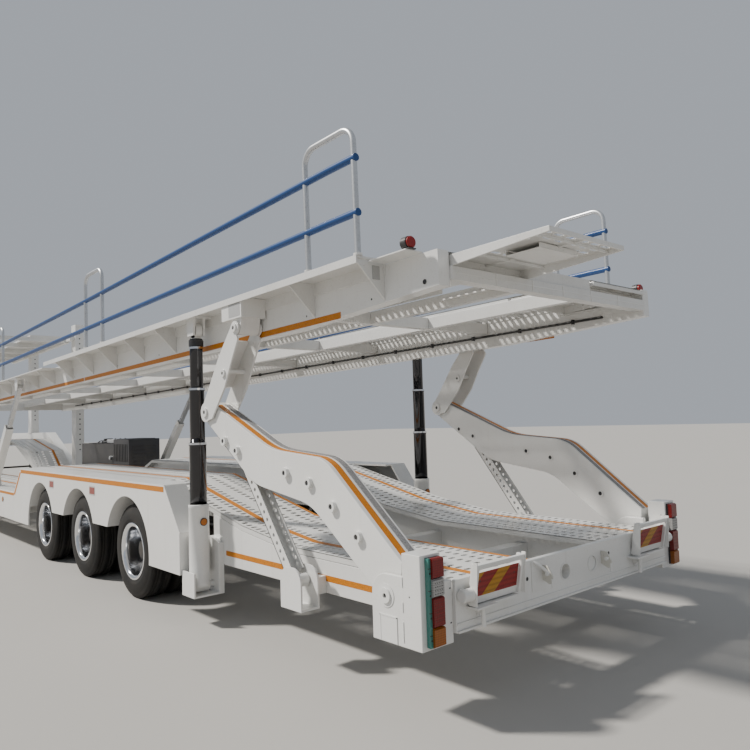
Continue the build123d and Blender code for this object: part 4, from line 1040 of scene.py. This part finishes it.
class Stripes(bpy.types.Operator):
    """Orange tape along the fenders, sills, deck beams and tail rails"""

    bl_idname = "transporter.stripes"
    bl_label = "Stripes"
    bl_options = {"REGISTER", "UNDO"}

    def execute(self, context):
        low = Shape()
        tape(low, [(2.70, 0.915), (AXLE_FRONT_X - 0.02, 0.915), (AXLE_FRONT_X - 0.005, 0.955), (2.70, 0.955)],
             HALF_WIDTH)
        tape(low, [(6.585, 0.92), (6.625, 0.925), (6.885, 0.655), (6.84, 0.645)], HALF_WIDTH)
        tape(low, [(6.892, 0.635), (12.24, 0.635), (12.24, 0.665), (6.892, 0.665)], HALF_WIDTH)
        tape(low, [(12.27, 0.647), (13.72, 1.315), (13.70, 1.342), (12.25, 0.672)], HALF_WIDTH)
        tape(low, [(13.75, 1.312), (16.58, 1.312), (16.58, 1.342), (13.75, 1.342)], HALF_WIDTH)
        tape(low, [(0.35, 0.468), (1.36, 0.468), (1.36, 0.503), (0.35, 0.503)], 1.0)
        tape(low, [(1.42, 0.47), (2.22, 0.47), (2.22, 0.505), (1.42, 0.505)], 1.0)
        low.mirror().make("chassis_stripes", "chassis", [stripe_tape()], "white_paint")
        high = Shape()
        tape(high, [(0.77, -0.228), (5.0, -0.232), (5.0, -0.197), (0.77, -0.19)], 1.05)
        tape(high, [(5.02, -0.232), (10.9, -0.232), (10.9, -0.197), (5.02, -0.197)], 1.05)
        high.mirror().make("deck_stripes", "rear_deck", [stripe_tape()], "white_paint", DECK)
        return {"FINISHED"}


class TailLamps(bpy.types.Operator):
    """Tail lamps with their side strips"""

    bl_idname = "transporter.tail_lamps"
    bl_label = "Tail lamps"
    bl_options = {"REGISTER", "UNDO"}

    def execute(self, context):
        shape = Shape()
        rows = [(0.366, 0.452, 3), (0.455, 0.588, 1), (0.591, 0.672, 2), (0.675, 0.767, 1)]
        shape.box((-0.012, -0.0004), (1.131, 1.219), (0.3655, 0.7675), 0)
        for low, high, kind in rows:
            corners = [(-0.039, low + 0.006), (-0.030, low), (-0.012, low), (-0.012, high), (-0.030, high),
                       (-0.039, high - 0.006)]
            shape.prism(corners, (1.133, 1.206), kind)
        for z in (0.606, 0.622, 0.638, 0.654):
            for k in range(4):
                shape.rod((-0.039, 1.147 + 0.015 * k, z), 0.0028, (-0.0008, 0.001), "x", 0, 8, 0.0002)
        for z in (0.485, 0.505, 0.525, 0.545, 0.565):
            for k in range(5):
                shape.rod((-0.039, 1.144 + 0.0128 * k, z), 0.0026, (-0.0008, 0.001), "x", 5, 8, 0.0002)
        shape.box((-0.026, -0.001), (1.2062, 1.2195), (0.3655, 0.7675), 4)
        for z in (0.40, 0.50, 0.60, 0.70):
            shape.rod((-0.0262, 1.213, z), 0.005, (-0.001, 0.002), "x", 0, 12, 0.0005)
            shape.box((-0.0268, -0.02), (1.2062, 1.2197), (z + 0.02, z + 0.024), 0)
        materials = [dull_black(), lens("Red lens", (0.30, 0.007, 0.007)), lens("Clear lens", (0.60, 0.59, 0.57)),
                     lens("Amber tail lens", (0.50, 0.14, 0.006)), green_housing(),
                     finish("Dark red", (0.06, 0.003, 0.003), 0.3)]
        shape.mirror().make("tail_lamps", "chassis", materials, "lamp_plastic", bevel=0.0015,
                            stands_for=("tail_lamps",))
        return {"FINISHED"}


class TailDetails(bpy.types.Operator):
    """Crossbeam rings, lugs and hanging pins, ramp hinge tubes, warning boards, post pins and patches"""

    bl_idname = "transporter.tail_details"
    bl_label = "Tail details"
    bl_options = {"REGISTER", "UNDO"}

    def execute(self, context):
        beam = Shape()
        face = TAIL_FACE
        beam.ring((face, 0.132, 0.53), 0.047, 0.0415, (-0.004, 0.0), "x", 0, 36)
        beam.ring((face, -0.146, 0.53), 0.047, 0.0415, (-0.003, 0.0), "x", 0, 36)
        beam.rod((face, -0.146, 0.53), 0.0415, (0.004, 0.02), "x", 0, 36)
        for y, z in ((0.347, 0.555), (-0.248, 0.542)):
            fan = [(face, z + 0.045), (-0.058, z + 0.045, 0.02), (-0.09, z - 0.01, 0.02),
                   (-0.072, z - 0.055, 0.012), (face, z - 0.03)]
            beam.prism(fan, (y - 0.004, y + 0.004), 2)
            beam.rod((-0.062, y, z + 0.005), 0.011, (-0.022, 0.022), "y", 0, 16)
            beam.rod((-0.082, y, 0), 0.005, (z - 0.07, z - 0.02), "z", 0, 12)
        beam.sweep([(face, 0.425, 0.628), (-0.045, 0.405, 0.61), (-0.06, 0.352, 0.566)], 0.0085, 0, 12)
        beam.box((-0.0235, face), (0.325, 0.445), (0.47, 0.628))
        for y in (0.892, -0.622):
            beam.box((-0.095, face), (y - 0.075, y + 0.075), (0.497, 0.506))
            beam.prism([(face, 0.44), (face, 0.497), (-0.075, 0.497)], (y - 0.004, y + 0.004))
            beam.rod((-0.062, y, 0), 0.012, (0.402, 0.497), "z", 0, 16)
            beam.ring((-0.062, y, 0), 0.017, 0.0115, (0.486, 0.497), "z", 0, 16)
        # Each black disc in its thin ring is painted shade standing for a hole in the beam's face.
        for y, z in ((0.483, 0.548), (-0.33, 0.56)):
            beam.rod((face, y, z), 0.011, (-0.0012, 0.0006), "x", 1, 16, 0.0003)
            beam.ring((face, y, z), 0.014, 0.0112, (-0.002, 0.0006), "x", 0, 16)
        for side in (1, -1):
            span = tuple(sorted((0.612 * side, 0.935 * side)))
            beam.box((-0.0208, face), span, (0.505, 0.542), 1)
            beam.box((-0.066, face), span, (0.493, 0.505))
            tube = tuple(sorted((0.962 * side, 1.034 * side)))
            beam.rod((-0.052, 0, 0.566), 0.031, tube, "y", 0, 28, 0.004)
            beam.ring((-0.052, 0, 0.566), 0.024, 0.02, (tube[0] - 0.0006, tube[1] + 0.0006), "y", 0, 28)
            beam.box((-0.052, face), tuple(sorted((0.985 * side, 1.012 * side))), (0.54, 0.592))
        beam.box((-0.032, 0.0), (-1.035, 1.035), (0.3925, 0.402))
        beam.box((-0.025, face), (-1.035, 1.035), (0.428, 0.437))
        beam.rod((-0.006, 0, 0.632), 0.012, (-0.595, 0.595), "y", 0, 16)
        cream = finish("Cream plate", (0.62, 0.60, 0.54), 0.4, dust=0.35)
        beam.make("crossbeam_details", "chassis", [white_paint(), dull_black(), cream], "white_paint",
                  bevel=0.0012)
        posts = Shape()
        ax, az = ARM_PIVOT
        posts.ring((ax, SIDE_FACE, az), 0.036, 0.012, (0.0, 0.012), "y", 0, 36)
        posts.ring((ax, SIDE_FACE, az), 0.056, 0.036, (0.0, 0.003), "y", 0, 40)
        posts.rod((ax, SIDE_FACE, az), 0.0125, (0.0, 0.002), "y", 1, 24, 0.0004)
        posts.prism([(0.166, 0.352), (0.278, 0.352), (0.278, 0.474), (0.166, 0.474)], (1.2501, 1.2525))
        for a, b in (((0.1615, 0.352), (0.1675, 0.476)), ((0.2765, 0.352), (0.2825, 0.476)),
                     ((0.1615, 0.471), (0.2825, 0.478))):
            posts.box((a[0], b[0]), (1.2501, 1.254), (a[1], b[1]))
        for z in (0.625, 0.51, 0.42, 0.372):
            posts.box((0.1175, 0.1235), (1.2495, 1.2535), (z, z + 0.045))
        posts.rod((0.075, 1.2501, 0.585), 0.004, (-0.0004, 0.0006), "y", 1, 10, 0.0002)
        for z in (0.44, 0.60, 0.70):
            posts.box((-0.0008, 0.0), (1.05, 1.06), (z, z + 0.006), 1)
        posts.mirror().make("post_details", "chassis", [white_paint(), dull_black()], "white_paint", bevel=0.0012)
        boards = Shape()
        for side in (1, -1):
            lean = Matrix.Translation((-0.0482, 0.775 * side, 0.545)) @ Matrix.Rotation(math.radians(-10), 4, "Y")
            rows = [(-0.0006, 0, [(0.0, 0.001), (0.326, 0.001), (0.326, 0.117), (0.0, 0.117)]),
                    (-0.0012, 1, [(0.052, 0.001), (0.146, 0.001), (0.262, 0.117), (0.168, 0.117)]),
                    (-0.0012, 1, [(0.0, 0.06), (0.058, 0.117), (0.0, 0.117)])]
            for depth, kind, outline in rows:
                n = len(outline)
                points = [lean @ Vector((d, 0.163 - f, z)) for d in (depth + 0.0004, depth - 0.0004)
                          for f, z in outline]
                boards.add(points, slab_faces(n), kind)
            for f, z in ((0.03, 0.075), (0.296, 0.075)):
                at = lean @ Vector((-0.0014, 0.163 - f, z))
                boards.rod(tuple(at), 0.004, (-0.001, 0.001), "x", 2, 10, 0.0003)
        boards.make("warning_boards", "chassis",
                    [lens("Red board", (0.42, 0.012, 0.01), 220.0),
                     lens("Yellow board", (0.70, 0.33, 0.008), 220.0), dull_black()], "lamp_plastic")
        side_plates = Shape()
        for side in (1, -1):
            for y in (0.945, 0.605):
                wing = [(-0.10, 0.51), (-0.052, 0.51), (-0.050, 0.545), (-0.088, 0.715), (-0.112, 0.715)]
                span = (y - 0.0205, y - 0.0145) if y < 0.7 else (y + 0.0155, y + 0.0205)
                side_plates.prism([(x + 0.014, z) for x, z in wing], tuple(sorted(v * side for v in span)))
        side_plates.make("board_wings", "chassis", [white_paint()], "white_paint", bevel=0.001)
        return {"FINISHED"}


class DeckDetails(bpy.types.Operator):
    """Reflectors, corner marker lamps, lifting eyes and underside plates of the upper deck"""

    bl_idname = "transporter.deck_details"
    bl_label = "Deck details"
    bl_options = {"REGISTER", "UNDO"}

    def execute(self, context):
        shape = Shape()
        shape.box((1.56, 1.70), (1.2402, 1.2412), (-0.10, -0.01), 3)
        shape.box((2.30, 2.37), (1.2402, 1.2412), (-0.014, 0.010), 3)
        shape.box((0.3865, 0.3895), (1.085, 1.135), (-0.085, -0.012), 3)
        shape.ring((0.36, 1.1, 0.0), 0.022, 0.012, (0.0, 0.006), "z", 0, 20)
        shape.box((0.10, 0.38), (1.0505, 1.17), (0.0005, 0.0065), 0)
        shape.box((0.085, 0.135), (1.11, 1.16), (0.0065, 0.012), 1)
        lamp = (0.115, 1.135, 0.042)
        shape.rod(lamp, 0.033, (-0.012, 0.028), "x", 1, 28)
        shape.rod(lamp, 0.030, (-0.03, -0.010), "x", 2, 28, 0.006)
        for x in (0.5, 1.1, 3.2, 4.1, 5.3):
            shape.rod((x, 1.0502, -0.165), 0.006, (-0.0002, 0.0006), "y", 1, 12, 0.0002)
        shape.rod((0.096, 1.0502, -0.147), 0.013, (-0.0004, 0.004), "y", 1, 20)
        shape.box((0.0, 0.06), (0.971, 0.9735), (-0.14, -0.02), 0)
        shape.mirror()
        shape.box((-0.0135, -0.012), (-0.955, 0.955), (-0.112, -0.106), 0)
        for y in (0.30, 0.0, -0.30, -0.62, 0.62):
            shape.box((-0.0155, -0.012), (y - 0.004, y + 0.004), (-0.142, -0.08), 0)
        shape.make("deck_details", "rear_deck",
                   [white_paint(), dull_black(), lens("Red marker", (0.40, 0.01, 0.008), 150.0),
                    lens("White reflector", (0.7, 0.7, 0.69), 240.0)], "deck_paint", DECK, 0.0008)
        return {"FINISHED"}


class Flaps(bpy.types.Operator):
    """Two sliding loading flaps: slotted plate between tapered cheeks"""

    bl_idname = "transporter.flaps"
    bl_label = "Loading flaps"
    bl_options = {"REGISTER", "UNDO"}

    def execute(self, context):
        tip, butt, travel = FLAP
        look = context.scene.transporter_track
        for word in ("left", "right"):
            shape = Shape()
            us = [tip + 0.008, tip + 0.03] + [tip + 0.03 + 0.061 * k for k in range(1, 10)] + [butt - 0.012]
            rows = [0.395, 0.49, 0.585, 0.70, 0.795, 0.89]
            vs = [0.337] + [(a + b) / 2 for a, b in zip(rows, rows[1:])] + [0.948]

            def hole(i, j, u, v):
                boxed = -0.43 < u < -0.19 and 1 <= j <= 4
                if i < 1 or i > 8 or (boxed and j != 1):
                    return None
                if boxed:
                    return obround(u, rows[j] - 0.04, 0.0135, 0.022)
                return obround(u, rows[j], look.slot_width / 2, look.slot_length * 0.65)

            shape.sheet(us, vs, hole, 0.004, lambda u, v, w: (u, v, -0.018 + w))
            for y in ((0.325, 0.337), (0.948, 0.96)):
                shape.prism([(tip, -0.018), (butt, -0.018), (butt, -0.075), (0.0, -0.075), (tip, -0.042)], y)
            shape.box((tip, tip + 0.008), (0.337, 0.948), (-0.042, -0.0181))
            shape.box((butt - 0.012, butt), (0.337, 0.948), (-0.075, -0.0181))
            shape.box((-0.41, -0.21), (0.475, 0.79), (-0.052, -0.0475))
            for x in (-0.41, -0.214):
                shape.box((x, x + 0.004), (0.475, 0.79), (-0.0475, -0.026))
            for x in (-0.5, -0.12):
                shape.box((x, x + 0.005), (0.337, 0.948), (-0.04, -0.026))
            shape.box((tip + 0.01, butt - 0.012), (0.634, 0.640), (-0.034, -0.026))
            place = DECK
            if word == "right":
                shape.flipped()
                place = DECK @ Matrix.Translation((travel, 0, 0))
            shape.make("loading_flap_" + word, "flap_" + word, [deck_paint()], "deck_paint", place, 0.001,
                       ("flap_" + word,))
        return {"FINISHED"}


class Columns(bpy.types.Operator):
    """Pin holes in the columns and column caps"""

    bl_idname = "transporter.columns"
    bl_label = "Front columns"
    bl_options = {"REGISTER", "UNDO"}

    def execute(self, context):
        shape = Shape()
        for x, foot in COLUMNS:
            z = foot
            while z < 3.38:
                for dx in (-0.07, 0.07):
                    # The black discs in the rings are painted shade standing for the pin holes.
                    shape.ring((x + dx, 1.2302, z), 0.019, 0.013, (0.0, 0.003), "y", 0, 16)
                    shape.rod((x + dx, 1.2302, z), 0.0135, (-0.001, 0.0008), "y", 1, 16, 0.0002)
                z += 0.1
            # Black discs on the column's sides: painted shade standing for pin holes.
            for sx in (-1, 1):
                z = foot + 0.05
                while z < 3.38:
                    shape.rod((x + sx * 0.1203, 1.15, z), 0.014, (-0.0006, 0.0006), "x", 1, 16, 0.0002)
                    z += 0.1
            base = foot - 0.27 if foot < 1 else foot - 0.25
            shape.box((x - 0.14, x + 0.14), (1.06, 1.24), (base, base + 0.012))
        shape.mirror().make("column_details", "chassis", [white_paint(), dull_black()], "white_paint")
        return {"FINISHED"}


class PowerPack(bpy.types.Operator):
    """Hydraulic power pack: ribbed engine cover, tank with filler, valve block and pipes"""

    bl_idname = "transporter.power_pack"
    bl_label = "Power pack"
    bl_options = {"REGISTER", "UNDO"}

    def execute(self, context):
        shape = Shape()
        y0, y1 = PACK_Y
        shape.prism([(8.302, 0.66), (9.7, 0.66), (9.7, 1.165, 0.015), (8.302, 1.165, 0.015)], (y0, y1), 0)
        shape.prism([(7.7, 0.66), (8.298, 0.66), (8.298, 1.232, 0.02), (7.7, 1.232, 0.02)], (y0, y1), 1)
        for k in range(9):
            x = 7.76 + 0.06 * k
            shape.box((x, x + 0.02), (y0 + 0.04, y1 - 0.04), (1.2325, 1.238), 1)
            shape.box((x, x + 0.03), (y1 - 0.0005, y1 + 0.006), (0.9, 1.16), 0)
        for k in range(7):
            z = 0.78 + 0.055 * k
            shape.box((7.694, 7.7005), (y0 + 0.05, y1 - 0.05), (z, z + 0.03), 0)
        for k in range(6):
            x = 8.42 + 0.2 * k
            shape.box((x, x + 0.012), (y0 + 0.02, y1 - 0.02), (1.1655, 1.172), 0)
        shape.rod((8.5, -0.72, 0), 0.045, (1.166, 1.215), "z", 0, 28)
        shape.rod((9.1, -0.70, 0), 0.07, (1.166, 1.236), "z", 0, 32)
        shape.ring((9.1, -0.70, 0), 0.074, 0.05, (1.18, 1.192), "z", 2, 32)
        shape.box((8.66, 8.94), (-0.86, -0.62), (1.1655, 1.225), 2)
        for k in range(4):
            y = -0.83 + 0.06 * k
            shape.rod((8.72 + 0.05 * k, y, 0), 0.012, (1.225, 1.238), "z", 0, 14)
            shape.sweep([(8.94, y, 1.2), (9.3, y, 1.2), (9.36, y, 1.19), (9.42, y, 1.168)], 0.009, 0, 10)
        shape.rod((8.36, -0.5, 0.95), 0.03, (0.0, 0.06), "y", 2, 20)
        cover = finish("Pack cover", (0.035, 0.036, 0.04), 0.35, 0.3, dust=0.35, dirt=(0.10, 0.09, 0.075))
        shape.make("power_pack", "chassis", [dull_black(), cover, zinc_steel()], "pack_black", bevel=0.003,
                   stands_for=("power_pack",))
        return {"FINISHED"}


class Springs(bpy.types.Operator):
    """Leaf packs, hangers and clamps over the axles"""

    bl_idname = "transporter.springs"
    bl_label = "Springs"
    bl_options = {"REGISTER", "UNDO"}

    def execute(self, context):
        shape = Shape()
        top = TYRE_R + 0.06
        for i in range(4):
            x = AXLES_X[0] + 1.2 * (i - 0.5)
            shape.prism([(x - 0.09, 0.6), (x - 0.06, top - 0.015), (x + 0.06, top - 0.015), (x + 0.09, 0.6)],
                        (0.445, 0.452))
            shape.prism([(x - 0.09, 0.6), (x - 0.06, top - 0.015), (x + 0.06, top - 0.015), (x + 0.09, 0.6)],
                        (0.508, 0.515))
            shape.box((x - 0.06, x + 0.06), (0.452, 0.508), (0.585, 0.6))
        for x in AXLES_X:
            for k in range(5):
                reach = 0.58 - 0.09 * k
                z = top + 0.0405 - k * 0.0099
                shape.box((x - reach, x + reach), (0.447, 0.513), (z, z + 0.0088))
            shape.box((x - 0.09, x + 0.09), (0.446, 0.514), (top + 0.05, top + 0.074))
            for dx in (-0.075, 0.075):
                for y in (0.452, 0.508):
                    shape.rod((x + dx, y, 0), 0.0065, (top + 0.002, top + 0.0745), "z", 0, 10)
        shape.mirror().make("leaf_springs", "chassis", [black_steel()], "running_gear", bevel=0.0012,
                            stands_for=("suspension",))
        return {"FINISHED"}


class FenderDetails(bpy.types.Operator):
    """Plain stickers and side markers on the fenders and sills"""

    bl_idname = "transporter.fender_details"
    bl_label = "Fender details"
    bl_options = {"REGISTER", "UNDO"}

    def execute(self, context):
        shape = Shape()
        for x in (4.22, 5.42):
            tape(shape, [(x - 0.075, 0.80), (x + 0.075, 0.80), (x + 0.075, 0.885), (x - 0.075, 0.885)], HALF_WIDTH,
                 finish=1)
            tape(shape, [(x - 0.065, 0.812), (x + 0.065, 0.812), (x + 0.065, 0.873), (x - 0.065, 0.873)],
                 HALF_WIDTH + 0.0012, finish=2)
        for x in (7.4, 9.6, 11.2):
            shape.rod((x, SIDE_FACE, 0.56), 0.026, (0.0, 0.006), "y", 3, 24)
            shape.ring((x, SIDE_FACE, 0.56), 0.031, 0.0255, (0.0, 0.005), "y", 0, 24)
        shape.mirror().make("fender_details", "chassis",
                            [dull_black(), finish("Sticker edge", (0.55, 0.54, 0.52), 0.4),
                             lens("Red sticker", (0.55, 0.08, 0.05), 240.0),
                             lens("Amber side lens", (0.75, 0.24, 0.01), 160.0)], "white_paint", bevel=0.0006)
        return {"FINISHED"}


class Stage(bpy.types.Operator):
    """Pale floor, soft light and the camera"""

    bl_idname = "transporter.stage"
    bl_label = "Stage"
    bl_options = {"REGISTER", "UNDO"}

    def execute(self, context):
        look = context.scene.transporter_stage
        size = 60.0
        mesh = bpy.data.meshes.new("floor")
        mesh.from_pydata([(-size, -size, 0), (size, -size, 0), (size, size, 0), (-size, size, 0)], [],
                         [(0, 1, 2, 3)])
        mesh.materials.append(floor_pale())
        floor = bpy.data.objects.new("floor", mesh)
        context.scene.collection.objects.link(floor)
        sun = bpy.data.lights.new("Key", "SUN")
        sun.energy = look.sun_strength
        sun.angle = math.radians(5)
        sun.color = (1.0, 0.965, 0.91)
        key = bpy.data.objects.new("Key", sun)
        toward = Vector(SUN_TOWARD)
        key.rotation_euler = toward.to_track_quat("-Z", "Y").to_euler()
        context.scene.collection.objects.link(key)
        world = bpy.data.worlds.new("Sky")
        world.use_nodes = True
        world.node_tree.nodes["Background"].inputs["Color"].default_value = (0.80, 0.86, 0.95, 1.0)
        world.node_tree.nodes["Background"].inputs["Strength"].default_value = look.sky_strength
        context.scene.world = world
        data = bpy.data.cameras.new("Camera")
        data.lens = look.lens_length
        data.sensor_width = 36.0
        data.sensor_fit = "HORIZONTAL"
        data.clip_end = 200.0
        camera = bpy.data.objects.new("Camera", data)
        yaw, pitch, roll = (math.radians(v) for v in CAMERA_TURN)
        ahead = Vector((math.cos(pitch) * math.cos(yaw), math.cos(pitch) * math.sin(yaw), math.sin(pitch)))
        right = Vector((math.sin(yaw), -math.cos(yaw), 0.0))
        up = right.cross(ahead)
        right, up = (right * math.cos(roll) + up * math.sin(roll), -right * math.sin(roll) + up * math.cos(roll))
        turn = Matrix((right, up, -ahead)).transposed().to_4x4()
        camera.matrix_world = Matrix.Translation((CAMERA_AT[0] - X_MID, *CAMERA_AT[1:])) @ turn
        context.scene.collection.objects.link(camera)
        context.scene.camera = camera
        return {"FINISHED"}


OPERATORS = (Framework, LowerTracks, DeckTracks, Arms, Props, Cylinders, Braces, HandRails, Wheels, Stripes,
             TailLamps, TailDetails, DeckDetails, Flaps, Columns, PowerPack, Springs, FenderDetails, Stage)
SETTINGS = (("transporter_paint", PaintSettings), ("transporter_track", TrackSettings),
            ("transporter_wheel", WheelSettings), ("transporter_stage", StageSettings))


class TransporterPanel(bpy.types.Panel):
    """Settings and steps of the transporter"""

    bl_idname = "VIEW3D_PT_transporter"
    bl_label = "Transporter"
    bl_space_type = "VIEW_3D"
    bl_region_type = "UI"
    bl_category = "Transporter"

    def draw(self, context):
        for name, group in SETTINGS:
            settings = getattr(context.scene, name)
            for key in group.__annotations__:
                self.layout.prop(settings, key)
        for operator in OPERATORS:
            self.layout.operator(operator.bl_idname)


def register():
    for name, group in SETTINGS:
        bpy.utils.register_class(group)
        setattr(bpy.types.Scene, name, PointerProperty(type=group))
    for operator in OPERATORS:
        bpy.utils.register_class(operator)
    bpy.utils.register_class(TransporterPanel)


def unregister():
    bpy.utils.unregister_class(TransporterPanel)
    for operator in reversed(OPERATORS):
        bpy.utils.unregister_class(operator)
    for name, group in reversed(SETTINGS):
        delattr(bpy.types.Scene, name)
        bpy.utils.unregister_class(group)


def main():
    register()
    for operator in OPERATORS:
        area, name = operator.bl_idname.split(".")
        result = getattr(getattr(bpy.ops, area), name)()
        if result != {"FINISHED"}:
            raise RuntimeError(operator.bl_label + " was not made")


if __name__ == "__main__":
    main()
